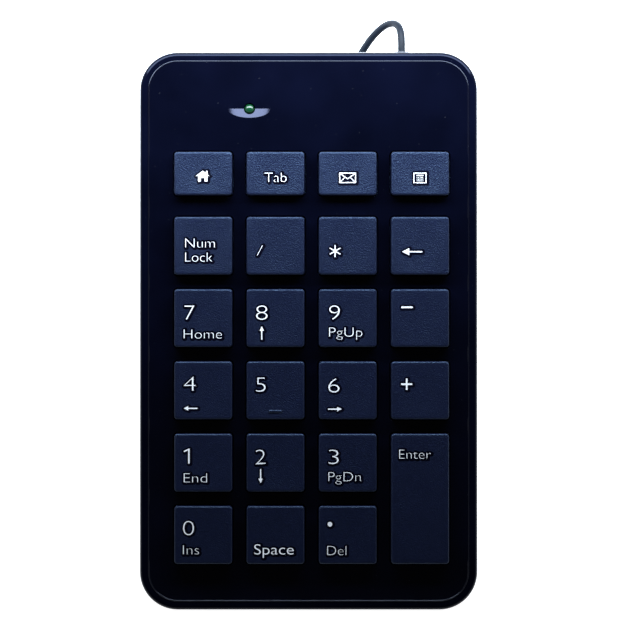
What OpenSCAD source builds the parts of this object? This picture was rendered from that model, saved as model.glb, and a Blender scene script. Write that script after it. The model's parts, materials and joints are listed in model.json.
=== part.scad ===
// Numeric keypad with 23 keys, a stabilised Enter key, an indicator lamp, fold-out tilt feet and a lead.
// It stands on its front pads and its open tilt feet. The origin is the centre of its base on the table,
// +X is to the user's right, +Y is away from the user and +Z is up. All sizes are in millimetres.
// The case, the keys and all that is inside are drawn lying flat, and `tilted` leans them back.

/* [Keys] */
// Side of a square key cap
key_size = 15.4; // [13:0.1:19]
// Gap between neighbouring key caps
key_gap = 3.6; // [3:0.1:6]
// Front-to-back depth of the short hot keys
hot_key_depth = 11.6; // [10:0.1:16]
// Gap between the hot keys and the row in front of them
hot_gap = 5.5; // [3:0.1:10]
// Height of a resting key top above the face
key_rise = 2.4; // [2:0.1:5]
// Travel of a key from rest to its stop
key_travel = 2; // [1:0.1:2.6]
// Radius of the upright corners of a key cap
key_corner_r = 1; // [0.7:0.1:2]
// Width of the soft edge round a key top
key_edge = 0.6; // [0.2:0.1:0.9]
// Thickness of a key cap's walls
key_wall = 1.2; // [0.8:0.1:1.5]
// Thickness of a key cap's roof
key_roof = 1.4; // [0.8:0.1:2]
// Free space round a key cap in its window
key_play = 0.25; // [0.15:0.05:0.5]
// How far a key's flange reaches under the deck
flange_catch = 0.6; // [0.3:0.1:0.8]
// Thickness of a key's flange
flange_t = 0.8; // [0.5:0.1:1.2]

/* [Case] */
// Face beside the keys on the left
margin_left = 9.1; // [8:0.1:20]
// Face beside the keys on the right
margin_right = 7.5; // [7:0.1:20]
// Face in front of the keys
margin_front = 12.2; // [11:0.1:25]
// Face behind the hot keys, over the board and the feet
margin_rear = 26.3; // [25.5:0.1:40]
// Radius of the case's upright corners
case_corner_r = 10; // [8:0.5:13]
// Thickness of the case's side walls
wall = 1.8; // [1.4:0.1:2.4]
// Thickness of the bottom case's floor
floor_t = 1.7; // [1.4:0.1:3]
// Height of the ribs under the support plate
rib_h = 0.8; // [0.6:0.1:2]
// Thickness of the deck that holds the keys down
deck_t = 1.25; // [1:0.05:2]
// Thickness of the face plate
face_t = 1.2; // [1:0.1:2]
// Width of the rim round the face plate
rim = 2.2; // [1.5:0.1:4]
// Rounding of the case's upper edge
upper_edge_r = 1; // [0.4:0.1:1.2]
// Rounding of the case's lower edge
lower_edge_r = 1.5; // [0.5:0.1:2]
// Height of the seam between the two halves of the case
seam_w = 4.6; // [3.8:0.1:5]

/* [Switch stack] */
// Thickness of the steel support plate
plate_t = 0.5; // [0.3:0.1:1]
// Thickness of one membrane film
film_t = 0.12; // [0.08:0.01:0.25]
// Thickness of the dome sheet between its domes
sheet_t = 0.4; // [0.3:0.05:0.8]
// Radius of a dome at its foot
dome_r = 3.3; // [2.5:0.1:4]
// Radius of a dome at its top
dome_top_r = 1.9; // [1.5:0.1:2.3]
// Free height under a pressed key's flange
stop_space = 0.34; // [0.2:0.02:1]

/* [Lamp] */
// Distance of the lamp to the left of the middle of the case
lamp_from_middle = 15.6; // [8:0.1:17]
// Distance of the lamp from the rear edge of the case
lamp_from_rear = 14.9; // [12:0.1:16]
// Radius of the lamp's lens
lamp_r = 1.5; // [1:0.1:2]
// Length of the dish round the lamp
dish_length = 11.2; // [8:0.1:16]
// Width of the dish round the lamp
dish_width = 4.8; // [4:0.1:7]
// Depth of the dish round the lamp
dish_depth = 0.8; // [0.4:0.05:0.9]

/* [Feet and pads] */
// Backward lean of the keypad with its feet open
tilt = 4; // [2:0.5:6]
// Space between the table and the case over the front pads
pad_stand = 1.5; // [1:0.1:3]
// Radius of the rubber pads
pad_r = 4.5; // [3:0.1:6]
// Depth of the recess that a pad is glued in
pad_recess = 0.5; // [0.2:0.1:0.8]
// Width of a tilt foot
foot_w = 10; // [8:0.5:11]
// Thickness of a tilt foot at its hinge
foot_t = 3.4; // [2.8:0.1:3.6]
// Radius of the hinge pins of a tilt foot
foot_pin_r = 1.1; // [0.8:0.1:1.3]
// Distance of a tilt foot from the middle of the keypad
foot_x = 34; // [33:0.5:36]
// Distance of a foot's hinge from the rear edge of the case
foot_from_rear = 9.2; // [8:0.1:12]
// Backward lean of an open foot, which holds it on its stop
foot_lean = 5; // [2:0.5:8]
// Height of the rubber tip of a foot
tip_h = 2; // [1:0.1:4]

/* [Screws] */
// Radius of the case screws' thread
screw_r = 1; // [0.8:0.1:1.2]
// Radius of the case screws' head
screw_head_r = 1.8; // [1.5:0.1:2]

/* [Lead and plug] */
// Diameter of the lead
lead_d = 2; // [1.6:0.1:2.4]
// Width of the plug's metal shell
shell_w = 12; // [11.9:0.1:12.1]
// Thickness of the plug's metal shell
shell_t = 4.5; // [4.4:0.1:4.6]
// Length of the plug's metal shell
shell_l = 12; // [11.7:0.1:14]
// Width of the plug's moulded body
plug_w = 15.4; // [14:0.1:17]
// Thickness of the plug's moulded body
plug_t = 6.4; // [5.6:0.1:6.6]
// Length of the plug's moulded body
plug_l = 24; // [18:0.5:30]

/* [Hidden] */
$fn = 48;
eps = 0.01; // reach of a cut past the face that it opens
fit = 0.05; // play between parts that are set into each other
slip = 0.05; // radial play of a turning pin

// Plan of the keys: name, column, row and how many rows it is tall. Row 0 is the front one, 5 the hot keys.
HOT_ROW = 5;
KEYS = [
    ["key_0", 0, 0, 1], ["key_space", 1, 0, 1], ["key_decimal", 2, 0, 1], ["key_enter", 3, 0, 2],
    ["key_1", 0, 1, 1], ["key_2", 1, 1, 1], ["key_3", 2, 1, 1],
    ["key_4", 0, 2, 1], ["key_5", 1, 2, 1], ["key_6", 2, 2, 1], ["key_plus", 3, 2, 1],
    ["key_7", 0, 3, 1], ["key_8", 1, 3, 1], ["key_9", 2, 3, 1], ["key_minus", 3, 3, 1],
    ["key_num_lock", 0, 4, 1], ["key_divide", 1, 4, 1], ["key_multiply", 2, 4, 1],
    ["key_backspace", 3, 4, 1],
    ["key_home", 0, HOT_ROW, 1], ["key_tab", 1, HOT_ROW, 1], ["key_mail", 2, HOT_ROW, 1],
    ["key_calculator", 3, HOT_ROW, 1]
];
columns = 4;
pitch = key_size + key_gap;

// Outline of the case.
body_w = margin_left + columns * pitch - key_gap + margin_right;
body_d = margin_front + 5 * pitch - key_gap + hot_gap + hot_key_depth + margin_rear;
block_left = -body_w / 2 + margin_left;
block_front = -body_d / 2 + margin_front;
block_rear = body_d / 2 - margin_rear;
flange_out = key_play + flange_catch;

// Heights in the stack, measured up from the underside of the case.
plate_w0 = floor_t + rib_h;
film_w0 = plate_w0 + plate_t;
sheet_w0 = film_w0 + 3 * film_t;
sheet_w1 = sheet_w0 + sheet_t;
flange_w0 = sheet_w1 + stop_space + key_travel;
deck_w0 = flange_w0 + flange_t + fit;
deck_w1 = deck_w0 + deck_t;
case_t = deck_w1 + face_t;
key_top = case_t + key_rise;
dome_top = flange_w0 + 0.4;

// Standing position of the case.
pad_x = body_w / 2 - 11;
pad_v = body_d / 2 - 15;
rear_pad_x = 16;
rear_pad_v = body_d / 2 - 9.5;
body_z = pad_stand + pad_v * sin(tilt);
body_y = case_t / 2 * sin(tilt);

// Tilt feet: hinge, pocket and the axis that they turn about.
foot_v = body_d / 2 - foot_from_rear;
foot_hinge_w = foot_t / 2 + 0.3;
pocket_play = 0.5;
pocket_half = foot_w / 2 + pocket_play;
pocket_wall = 1.2;
pocket_ceiling = foot_hinge_w + foot_t / 2 + 0.3;
pocket_rear = foot_v + foot_t / 2 + 0.3;
hinge_y = body_y + foot_v * cos(tilt) - foot_hinge_w * sin(tilt);
hinge_z = body_z + foot_v * sin(tilt) + foot_hinge_w * cos(tilt);
leg_l = hinge_z / cos(foot_lean);
pocket_front = foot_v - leg_l - 1;

// Screws of the case: two at the front, two at the sides between rows and two behind the keys.
boss_r = 2.6;
boss_h = 1.5;
post_r = 2;
side_screw_v = block_front + 3 * pitch - key_gap / 2;
case_screw_places = [
    for (side = [-1, 1]) each [
        [side * (body_w / 2 - 14.2), -body_d / 2 + wall + boss_r + 2],
        [side * (body_w / 2 - wall - post_r - 0.2), side_screw_v],
        [side * (foot_x - pocket_half - pocket_wall - boss_r - 1.2), block_rear + 5.3]
    ]
];
post_w0 = floor_t + boss_h;

// Board, its membrane tail and clamp.
board_half_w = 20;
board_t = 1;
board_v0 = block_rear + 2.8;
board_v1 = body_d / 2 - 4.2;
board_w1 = film_w0;
tail_half_w = 12;
clamp_v = board_v0 + 2.2;
clamp_half_w = 19.4;
clamp_t = 1.6;
clamp_screw_x = 16;
clamp_screw_r = 0.8;
film_front = block_front - 1.4;
film_rear = block_rear + 1.2;
film_half_w = body_w / 2 - 7;
connector_x = 15;
connector_v = board_v1 - 3;
connector_half_l = 3;

// Blank rating label in its recess under the case.
label_w = 42;
label_d = 26;
label_v = -28;
label_t = 0.12;
label_recess = 0.2;

// Lamp.
lamp_x = -lamp_from_middle;
lamp_v = body_d / 2 - lamp_from_rear;
lamp_top = case_t - 0.1;
lamp_foot = lamp_top - 5.3;

// Enter key's stabiliser wire: it turns about a line through two steel tabs.
enter_x = block_left + 3 * pitch + key_size / 2;
enter_v = block_front + pitch - key_gap / 2;
enter_depth = 2 * pitch - key_gap;
wire_r = 0.45;
wire_arm = 10;
wire_half = enter_depth / 2 - 4.2;
wire_pivot_x = enter_x - wire_arm / 2;
wire_pivot_w = flange_w0 - 0.6;
wire_run_w = wire_pivot_w + key_travel / 2;
tab_t = 0.8;
tab_half_w = 1.1;

// Lead: where it leaves the rear wall, and its routes over the table.
exit_x = 24.6;
exit_proud = 0.4;
grommet_r = 2.2;
exit_y = body_y + body_d / 2 * cos(tilt) - seam_w * sin(tilt);
exit_z = body_z + body_d / 2 * sin(tilt) + seam_w * cos(tilt);
// First stretch: how far each point is from the exit in x and y, and its share of the exit's height.
lead_drop = [
    [0, -0.5, 1], [0, 2.2, 1.014], [-0.1, 4.8, 1], [-0.6, 7.1, 0.93], [-1.8, 8.4, 0.815],
    [-3.6, 8.5, 0.68], [-5.6, 7.5, 0.533], [-7.6, 5.7, 0.386], [-9.5, 3.3, 0.253], [-11.3, 0.5, 0.14],
    [-13.2, -2.6, 0.05]
];
lead_ground = [[9, 67], [6, 63.5], [2.6, 59.8], [-0.2, 55.8], [-1.7, 51.2], [-2, 46]];
lead_low = lead_d / 2;
lead_route = concat(
    [for (p = lead_drop) [exit_x + p[0], exit_y + p[1], lead_low + p[2] * (exit_z - lead_low)]],
    [for (p = lead_ground) [p[0], p[1], lead_low]]
);
tail_route = [
    [-3, 24, 3.5], [-2.6, 18.6, 3.2], [-1.2, 13.6, 2.4], [1.2, 9.6, 1.5], [4.4, 7, 1],
    [8, 6.6, 1.1], [11, 8.6, 1.7], [12.6, 11.6, 2.6], [13, 14.6, 3.2], [13, 17, 3.2]
];
hank_x = -14;
hank_y = 34;
hank_z0 = 0.5;
hank_h = 4.2;
hank_r = 13;
hank_run = 38;
waist_half = 8.2;
tie_t = 0.5;
tie_l = 7;
plug_x = 13;
plug_y = 24;
plug_relief_l = 8;
shell_sheet = 0.3;

function key_x(k) = block_left + key_size / 2 + k[1] * pitch;
function key_depth(k) = k[2] == HOT_ROW ? hot_key_depth : k[3] * pitch - key_gap;
function key_front(k) = k[2] == HOT_ROW ? block_rear - hot_key_depth : block_front + k[2] * pitch;
function key_v(k) = key_front(k) + key_depth(k) / 2;

function arc(x, y, r, from, to, steps) = [
    for (i = [0:steps])
        let (a = from + (to - from) * i / steps)
        [x + r * cos(a), y + r * sin(a)]
];

// Half of a slab's upright section, from its middle out, with a rounded lower and upper edge.
function half_section(half, z0, z1, lower_r, upper_r) = concat(
    [[0, z0]],
    lower_r > 0 ? arc(half - lower_r, z0 + lower_r, lower_r, -90, 0, 4) : [[half, z0]],
    upper_r > 0 ? arc(half - upper_r, z1 - upper_r, upper_r, 0, 90, 4) : [[half, z1]],
    [[0, z1]]
);

// A half section joined to its mirror image.
function whole_section(half) =
    concat(half, [for (i = [len(half) - 2:-1:1]) [-half[i][0], half[i][1]]]);

module rounded_outline(width, depth, r) {
    square([width - 2 * r, depth], center = true);
    square([width, depth - 2 * r], center = true);
    for (x = [-1, 1], y = [-1, 1])
        translate([x * (width / 2 - r), y * (depth / 2 - r)]) circle(r);
}

module prism(width, depth, r, z0, z1) {
    translate([0, 0, z0]) linear_extrude(z1 - z0) rounded_outline(width, depth, r);
}

module box(x0, x1, y0, y1, z0, z1) {
    translate([x0, y0, z0]) cube([x1 - x0, y1 - y0, z1 - z0]);
}

module rod(x, y, r, z0, z1) {
    translate([x, y, z0]) cylinder(r = r, h = z1 - z0);
}

// A rounded slab whose lower and upper edges are rounded all the way round.
module soft_slab(width, depth, r, z0, z1, lower_r, upper_r) {
    for (x = [-1, 1], y = [-1, 1])
        translate([x * (width / 2 - r), y * (depth / 2 - r), 0])
            rotate_extrude() polygon(half_section(r, z0, z1, lower_r, upper_r));
    rotate([90, 0, 0]) linear_extrude(depth - 2 * r, center = true)
        polygon(whole_section(half_section(width / 2, z0, z1, lower_r, upper_r)));
    rotate([90, 0, 90]) linear_extrude(width - 2 * r, center = true)
        polygon(whole_section(half_section(depth / 2, z0, z1, lower_r, upper_r)));
}

// A block with rounded upright corners and a soft, mitred edge round its top.
module soft_block(width, depth, r, z0, z1, edge) {
    intersection() {
        prism(width, depth, r, z0, z1);
        rotate([90, 0, 0]) linear_extrude(depth, center = true)
            polygon(whole_section(half_section(width / 2, z0, z1, 0, edge)));
        rotate([90, 0, 90]) linear_extrude(width, center = true)
            polygon(whole_section(half_section(depth / 2, z0, z1, 0, edge)));
    }
}

// Leans what is drawn flat back to where it stands.
module tilted() {
    translate([0, body_y, body_z]) rotate([tilt, 0, 0]) children();
}

module above_table() {
    intersection() {
        children();
        translate([-body_w, -body_d, 0]) cube([2 * body_w, 2 * body_d, body_d]);
    }
}

/* Keys */

module key_cap(k) {
    width = key_size;
    depth = key_depth(k);
    r = key_corner_r;
    color([0.13, 0.15, 0.22]) tilted() translate([key_x(k), key_v(k), 0]) {
        difference() {
            union() {
                soft_block(width, depth, r, flange_w0, key_top, key_edge);
                prism(width + 2 * flange_out, depth + 2 * flange_out, r, flange_w0, flange_w0 + flange_t);
                if (k[0] == "key_5") homing_bar();
            }
            prism(width - 2 * key_wall, depth - 2 * key_wall, r / 2, flange_w0 - eps, key_top - key_roof);
        }
        rod(0, 0, dome_top_r - 0.3, dome_top, key_top - key_roof);
        if (k[0] == "key_enter") wire_clips();
    }
}

// Raised bar near the front of the middle key, for finding it by touch.
module homing_bar() {
    translate([0, -key_size / 2 + 2.2, key_top - 0.1]) rotate([0, 90, 0])
        cylinder(r = 0.4, h = 3.7, center = true);
}

// Two open clips inside the Enter key that the stabiliser wire lies in.
module wire_clips() {
    inside = key_size / 2 - key_wall;
    for (v = [-1, 1]) difference() {
        box(wire_arm / 2 - 1, inside, v * 8 - 1, v * 8 + 1, flange_w0, key_top - key_roof);
        translate([wire_arm / 2, v * 8, wire_run_w]) rotate([90, 0, 0])
            cylinder(r = wire_r + 0.15, h = 2 + 2 * eps, center = true);
        box(wire_arm / 2 - 0.4, wire_arm / 2 + 0.4, v * 8 - 1 - eps, v * 8 + 1 + eps,
            flange_w0 - eps, wire_run_w);
    }
}

module enter_stabiliser() {
    run_half = wire_half + wire_r;
    rise = wire_run_w - wire_pivot_w;
    arm_l = sqrt(wire_arm * wire_arm + rise * rise);
    arm_angle = atan2(rise, wire_arm);
    color([0.72, 0.73, 0.75]) tilted() translate([wire_pivot_x, enter_v, wire_pivot_w]) {
        translate([wire_arm, 0, rise]) rotate([90, 0, 0])
            cylinder(r = wire_r, h = 2 * run_half, center = true);
        for (v = [-1, 1]) translate([0, v * wire_half, 0]) {
            rotate([0, 90 - arm_angle, 0]) cylinder(r = wire_r, h = arm_l);
            translate([wire_arm, 0, rise]) sphere(r = wire_r);
            sphere(r = wire_r);
            rotate([-v * 90, 0, 0]) cylinder(r = wire_r, h = 2.2);
        }
    }
}

/* Case */

module key_windows(play, z0, z1) {
    for (k = KEYS) translate([key_x(k), key_v(k), 0])
        prism(key_size + 2 * play, key_depth(k) + 2 * play, key_corner_r + play, z0, z1);
}

module lead_hole(r) {
    translate([exit_x, body_d / 2, seam_w]) rotate([90, 0, 0])
        cylinder(r = r, h = 4 * wall, center = true);
}

module top_case() {
    lip_reach = 1.1;
    color([0.03, 0.035, 0.06]) tilted() difference() {
        union() {
            difference() {
                soft_slab(body_w, body_d, case_corner_r, seam_w, case_t, 0, upper_edge_r);
                prism(body_w - 2 * wall, body_d - 2 * wall, case_corner_r - wall, seam_w - eps, deck_w0);
                prism(body_w - wall, body_d - wall, case_corner_r - wall / 2,
                    seam_w - eps, seam_w + lip_reach);
            }
            for (p = case_screw_places) rod(p[0], p[1], post_r, post_w0, deck_w0 + eps);
        }
        prism(body_w - 2 * rim + 2 * fit, body_d - 2 * rim + 2 * fit, case_corner_r - rim + fit,
            deck_w1, case_t + eps);
        key_windows(key_play, deck_w0 - eps, deck_w1 + eps);
        rod(lamp_x, lamp_v, lamp_r + 0.1, deck_w0 - eps, deck_w1 + eps);
        for (p = case_screw_places) rod(p[0], p[1], screw_r + fit, post_w0 - eps, deck_w0 - 0.6);
        lead_hole(grommet_r + fit);
    }
}

// Shallow dish: half a spindle whose outline on the face is an ellipse.
module lamp_dish() {
    half_l = dish_length / 2;
    half_w = dish_width / 2;
    axis_up = (half_w * half_w - dish_depth * dish_depth) / (2 * dish_depth);
    steps = 16;
    reach = [for (i = [0:steps]) -cos(180 * i / steps)];
    translate([lamp_x, lamp_v, case_t + axis_up]) rotate([0, 90, 0]) rotate_extrude()
        polygon(concat(
            [[0, -half_l]],
            [for (s = reach) [sqrt(axis_up * axis_up + half_w * half_w * (1 - s * s)), s * half_l]],
            [[0, half_l]]
        ));
}

module face_plate() {
    color([0.02, 0.025, 0.06]) tilted() difference() {
        soft_slab(body_w - 2 * rim, body_d - 2 * rim, case_corner_r - rim, deck_w1, case_t, 0, 0.3);
        key_windows(key_play + 0.1, deck_w1 - eps, case_t + eps);
        lamp_dish();
        rod(lamp_x, lamp_v, lamp_r + 0.1, deck_w1 - eps, case_t + eps);
    }
}

// Hollow block that a tilt foot folds into, drawn about the middle of the foot.
module foot_pocket_block() {
    box(-pocket_half - pocket_wall, pocket_half + pocket_wall, pocket_front - pocket_wall,
        pocket_rear + pocket_wall, floor_t - eps, pocket_ceiling + pocket_wall);
}

module foot_pocket_space() {
    box(-pocket_half, pocket_half, pocket_front, pocket_rear, -eps, pocket_ceiling);
    translate([0, foot_v, foot_hinge_w]) rotate([0, 90, 0])
        cylinder(r = foot_pin_r + slip, h = 2 * (pocket_half + pocket_wall) + 2 * eps, center = true);
}

module bottom_case() {
    lip_h = 1;
    rib_t = 1.2;
    inner_w = body_w - 2 * wall;
    inner_d = body_d - 2 * wall;
    lip_w = body_w - wall - 0.2;
    lip_d = body_d - wall - 0.2;
    color([0.05, 0.055, 0.075]) tilted() difference() {
        union() {
            difference() {
                union() {
                    soft_slab(body_w, body_d, case_corner_r, 0, seam_w, lower_edge_r, 0);
                    prism(lip_w, lip_d, case_corner_r - wall / 2 - 0.1, seam_w - eps, seam_w + lip_h);
                }
                prism(inner_w, inner_d, case_corner_r - wall, floor_t, seam_w + lip_h + eps);
            }
            for (side = [-1, 1]) translate([side * foot_x, 0, 0]) foot_pocket_block();
            for (i = [1:columns - 1])
                translate([block_left + i * pitch - key_gap / 2, 0, 0])
                    box(-rib_t / 2, rib_t / 2, film_front + 1, film_rear - 1, floor_t - eps, plate_w0);
            for (p = case_screw_places) rod(p[0], p[1], boss_r, floor_t - eps, post_w0);
            for (side = [-1, 1]) rod(side * clamp_screw_x, clamp_v, 2, floor_t - eps, board_w1 - board_t);
            box(-board_half_w + 1, board_half_w - 1, board_v1 - 2, board_v1,
                floor_t - eps, board_w1 - board_t);
        }
        for (side = [-1, 1]) translate([side * foot_x, 0, 0]) foot_pocket_space();
        for (p = case_screw_places) {
            rod(p[0], p[1], screw_r + 0.2, -eps, post_w0 + eps);
            rod(p[0], p[1], screw_head_r + 0.2, -eps, floor_t);
        }
        for (side = [-1, 1]) {
            rod(side * clamp_screw_x, clamp_v, clamp_screw_r + 0.02, 0.6, board_w1);
            rod(side * pad_x, -pad_v, pad_r + 0.1, -eps, pad_recess);
            rod(side * rear_pad_x, rear_pad_v, pad_r + 0.1, -eps, pad_recess);
        }
        translate([0, label_v, 0]) prism(label_w + 0.4, label_d + 0.4, 1.2, -eps, label_recess);
        lead_hole(grommet_r + fit);
    }
}

module rating_label() {
    color([0.75, 0.76, 0.78]) tilted() translate([0, label_v, 0])
        prism(label_w, label_d, 1, label_recess - label_t, label_recess);
}

// Screw with its head down in the counterbore, standing at the origin.
module case_screw() {
    difference() {
        union() {
            cylinder(r = screw_head_r, h = 1.3);
            cylinder(r = screw_r, h = deck_w0 - 1.4 - 0.3);
        }
        for (turn = [0, 90]) rotate([0, 0, turn])
            translate([-1, -0.2, -eps]) cube([2, 0.4, 0.7]);
    }
}

module case_screws() {
    color([0.25, 0.25, 0.27]) tilted()
        for (p = case_screw_places) translate([p[0], p[1], floor_t - 1.3]) case_screw();
}

/* Switch stack */

module stack_outline(with_tail) {
    width = 2 * film_half_w;
    depth = film_rear - film_front;
    difference() {
        union() {
            translate([0, (film_front + film_rear) / 2]) rounded_outline(width, depth, 2);
            if (with_tail) translate([-tail_half_w, film_rear - 1])
                square([2 * tail_half_w, clamp_v + 1.4 - film_rear + 1]);
        }
        for (side = [-1, 1]) translate([side * (body_w / 2 - wall - post_r - 0.2), side_screw_v])
            circle(boss_r + 0.3);
    }
}

module tab_slots() {
    for (v = [-1, 1]) translate([wire_pivot_x, enter_v + v * (wire_half + 1.2)])
        square([2 * tab_half_w + 0.3, tab_t + 0.3], center = true);
}

module support_plate() {
    color([0.6, 0.62, 0.65]) tilted() {
        translate([0, 0, plate_w0]) linear_extrude(plate_t) stack_outline(false);
        for (v = [-1, 1]) translate([wire_pivot_x, enter_v + v * (wire_half + 1.2), 0]) difference() {
            box(-tab_half_w, tab_half_w, -tab_t / 2, tab_t / 2, plate_w0, wire_pivot_w + 1);
            translate([0, 0, wire_pivot_w]) rotate([90, 0, 0])
                cylinder(r = wire_r + slip, h = 2 * tab_t, center = true);
        }
    }
}

module film(level) {
    tilted() translate([0, 0, film_w0 + level * film_t]) linear_extrude(film_t) difference() {
        stack_outline(true);
        tab_slots();
    }
}

module membrane_bottom() {
    color([0.80, 0.84, 0.80]) film(0);
}

module membrane_spacer() {
    contact_r = 2;
    color([0.88, 0.90, 0.86]) tilted() translate([0, 0, film_w0 + film_t])
        linear_extrude(film_t) difference() {
            stack_outline(true);
            tab_slots();
            for (k = KEYS) translate([key_x(k), key_v(k)]) circle(contact_r);
        }
}

module membrane_top() {
    color([0.80, 0.84, 0.80]) film(2);
}

module dome_sheet() {
    skin = 0.5;
    color([0.85, 0.86, 0.84]) tilted() difference() {
        union() {
            translate([0, 0, sheet_w0]) linear_extrude(sheet_t) difference() {
                stack_outline(false);
                tab_slots();
            }
            for (k = KEYS) translate([key_x(k), key_v(k), sheet_w1 - eps])
                cylinder(r1 = dome_r, r2 = dome_top_r, h = dome_top - sheet_w1 + eps);
        }
        for (k = KEYS) translate([key_x(k), key_v(k), sheet_w0 - eps])
            cylinder(r1 = dome_r - skin, r2 = dome_top_r - skin, h = dome_top - sheet_w0 - 2 * skin);
    }
}

/* Electronics */

module controller_board() {
    color([0.10, 0.35, 0.18]) tilted() difference() {
        box(-board_half_w, board_half_w, board_v0, board_v1, board_w1 - board_t, board_w1);
        for (side = [-1, 1]) rod(side * clamp_screw_x, clamp_v, clamp_screw_r + 0.1, 0, case_t);
    }
}

module controller_chip() {
    pins = 8;
    pin_pitch = 1.27;
    color([0.08, 0.08, 0.09]) tilted() translate([-2, (board_v0 + board_v1) / 2 + 1, board_w1]) {
        box(-5, 5, -2, 2, 0.2, 1.8);
        for (i = [0:pins - 1], side = [-1, 1])
            translate([(i - (pins - 1) / 2) * pin_pitch, side * 2.45, 0])
                box(-0.2, 0.2, -0.55, 0.55, 0, 0.5);
    }
}

module crystal() {
    color([0.75, 0.75, 0.77]) tilted() translate([10, board_v1 - 8, board_w1])
        prism(8, 3.4, 1.6, 0, 2.4);
}

module capacitors() {
    spacing = 3.2;
    last_x = connector_x - connector_half_l - 1.6;
    color([0.75, 0.6, 0.35]) tilted() for (i = [0:2])
        translate([last_x - i * spacing, board_v1 - 3.6, board_w1]) box(-0.8, 0.8, -0.5, 0.5, 0, 0.8);
}

module membrane_clamp() {
    clamp_w0 = film_w0 + 3 * film_t;
    color([0.2, 0.2, 0.22]) tilted() difference() {
        union() {
            box(-clamp_half_w, clamp_half_w, clamp_v - 1.5, clamp_v + 1.5, clamp_w0, clamp_w0 + clamp_t);
            for (side = [-1, 1])
                translate([side * (clamp_half_w + tail_half_w + 0.4) / 2, clamp_v, 0])
                    box(-(clamp_half_w - tail_half_w - 0.4) / 2, (clamp_half_w - tail_half_w - 0.4) / 2,
                        -1.5, 1.5, board_w1, clamp_w0 + clamp_t);
        }
        for (side = [-1, 1]) rod(side * clamp_screw_x, clamp_v, clamp_screw_r + 0.1, 0, case_t);
    }
}

module board_screws() {
    head_w0 = film_w0 + 3 * film_t + clamp_t;
    color([0.6, 0.6, 0.62]) tilted() for (side = [-1, 1]) {
        rod(side * clamp_screw_x, clamp_v, clamp_screw_r, 0.8, head_w0 + 0.5);
        rod(side * clamp_screw_x, clamp_v, 1.4, head_w0, head_w0 + 0.9);
    }
}

module led() {
    color([0.15, 0.55, 0.3]) tilted() translate([lamp_x, lamp_v, 0]) {
        rod(0, 0, lamp_r + 0.4, lamp_foot, lamp_foot + 1);
        rod(0, 0, lamp_r, lamp_foot, lamp_top - lamp_r);
        translate([0, 0, lamp_top - lamp_r]) sphere(r = lamp_r);
    }
}

module led_legs() {
    half_gap = 1.02;
    color([0.75, 0.75, 0.77]) tilted() for (side = [-1, 1])
        translate([lamp_x + side * half_gap, lamp_v, 0])
            box(-0.25, 0.25, -0.25, 0.25, board_w1, lamp_foot);
}

module lead_connector() {
    color([0.85, 0.84, 0.78]) tilted() translate([connector_x, connector_v, board_w1])
        box(-connector_half_l, connector_half_l + 0.4, -2.4, 2.4, 0, 2.6);
}

// Four wires from the connector to the back of the strain relief.
module inner_wires() {
    wire_t = 0.6;
    start = [connector_x + connector_half_l + 0.4, connector_v];
    end = [exit_x, body_d / 2 - wall - 2.6];
    length = norm(end - start);
    angle = atan2(end[1] - start[1], end[0] - start[0]);
    color([0.7, 0.1, 0.1]) tilted() for (i = [-1.5:1:1.5])
        translate([start[0], start[1], seam_w + i * 0.62]) rotate([0, 0, angle])
            box(0.4, length - 0.9, -wire_t / 2, wire_t / 2, -0.25, 0.25);
}

/* Feet and pads */

module front_pads() {
    color([0.06, 0.06, 0.065]) above_table() tilted()
        for (side = [-1, 1]) rod(side * pad_x, -pad_v, pad_r, -2 * pad_stand, pad_recess);
}

module rear_pads() {
    color([0.06, 0.06, 0.065]) tilted()
        for (side = [-1, 1]) rod(side * rear_pad_x, rear_pad_v, pad_r, -pad_stand, pad_recess);
}

// Puts a foot, drawn hanging down from its hinge at the origin, where it stands open.
module at_hinge(side) {
    translate([side * foot_x, hinge_y, hinge_z]) rotate([foot_lean, 0, 0]) children();
}

// Side view of a foot's leg: y to the rear, z up, between two depths under the hinge.
module leg_section(from, to) {
    half = foot_t / 2;
    taper = 0.06;
    rotate([90, 0, 90]) linear_extrude(foot_w, center = true)
        polygon([[-half + taper * from, -from], [half, -from], [half, -to], [-half + taper * to, -to]]);
}

module tilt_foot(side) {
    heel = pocket_rear - foot_v - foot_t / 2 - fit;
    color([0.05, 0.055, 0.075]) at_hinge(side) {
        rotate([0, 90, 0]) cylinder(r = foot_t / 2, h = foot_w, center = true);
        rotate([0, 90, 0])
            cylinder(r = foot_pin_r, h = 2 * (pocket_half + pocket_wall - 0.2), center = true);
        leg_section(0, leg_l - tip_h);
        box(-foot_w / 2, foot_w / 2, foot_t / 2 - eps, foot_t / 2 + heel, -foot_hinge_w, -foot_hinge_w / 2);
    }
}

module foot_tip(side) {
    color([0.06, 0.06, 0.065]) above_table() at_hinge(side) leg_section(leg_l - tip_h, leg_l + 1);
}

/* Lead */

// Grommet in the rear wall, with a collar behind the wall that is cut flat under the deck.
module strain_relief() {
    collar_r = grommet_r + 0.7;
    collar_w0 = wall + 0.1;
    collar_t = 1.4;
    color([0.08, 0.085, 0.1]) tilted() translate([exit_x, body_d / 2, seam_w]) rotate([90, 0, 0]) {
        translate([0, 0, -exit_proud]) cylinder(r = grommet_r, h = exit_proud + wall + 0.8);
        intersection() {
            translate([0, 0, collar_w0]) cylinder(r = collar_r, h = collar_t);
            box(-collar_r, collar_r, floor_t + fit - seam_w, deck_w0 - fit - seam_w,
                collar_w0, collar_w0 + collar_t);
        }
    }
}

// Ring of points round one point of a route, square to the way that the route runs there.
function ring(route, i, r, sides) =
    let (
        before = route[max(i - 1, 0)],
        after = route[min(i + 1, len(route) - 1)],
        along = (after - before) / norm(after - before),
        across = cross(along, [0, 0, 1]) / norm(cross(along, [0, 0, 1])),
        up = cross(across, along)
    )
    [for (s = [0:sides - 1]) route[i] + r * (cos(360 * s / sides) * across + sin(360 * s / sides) * up)];

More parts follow.
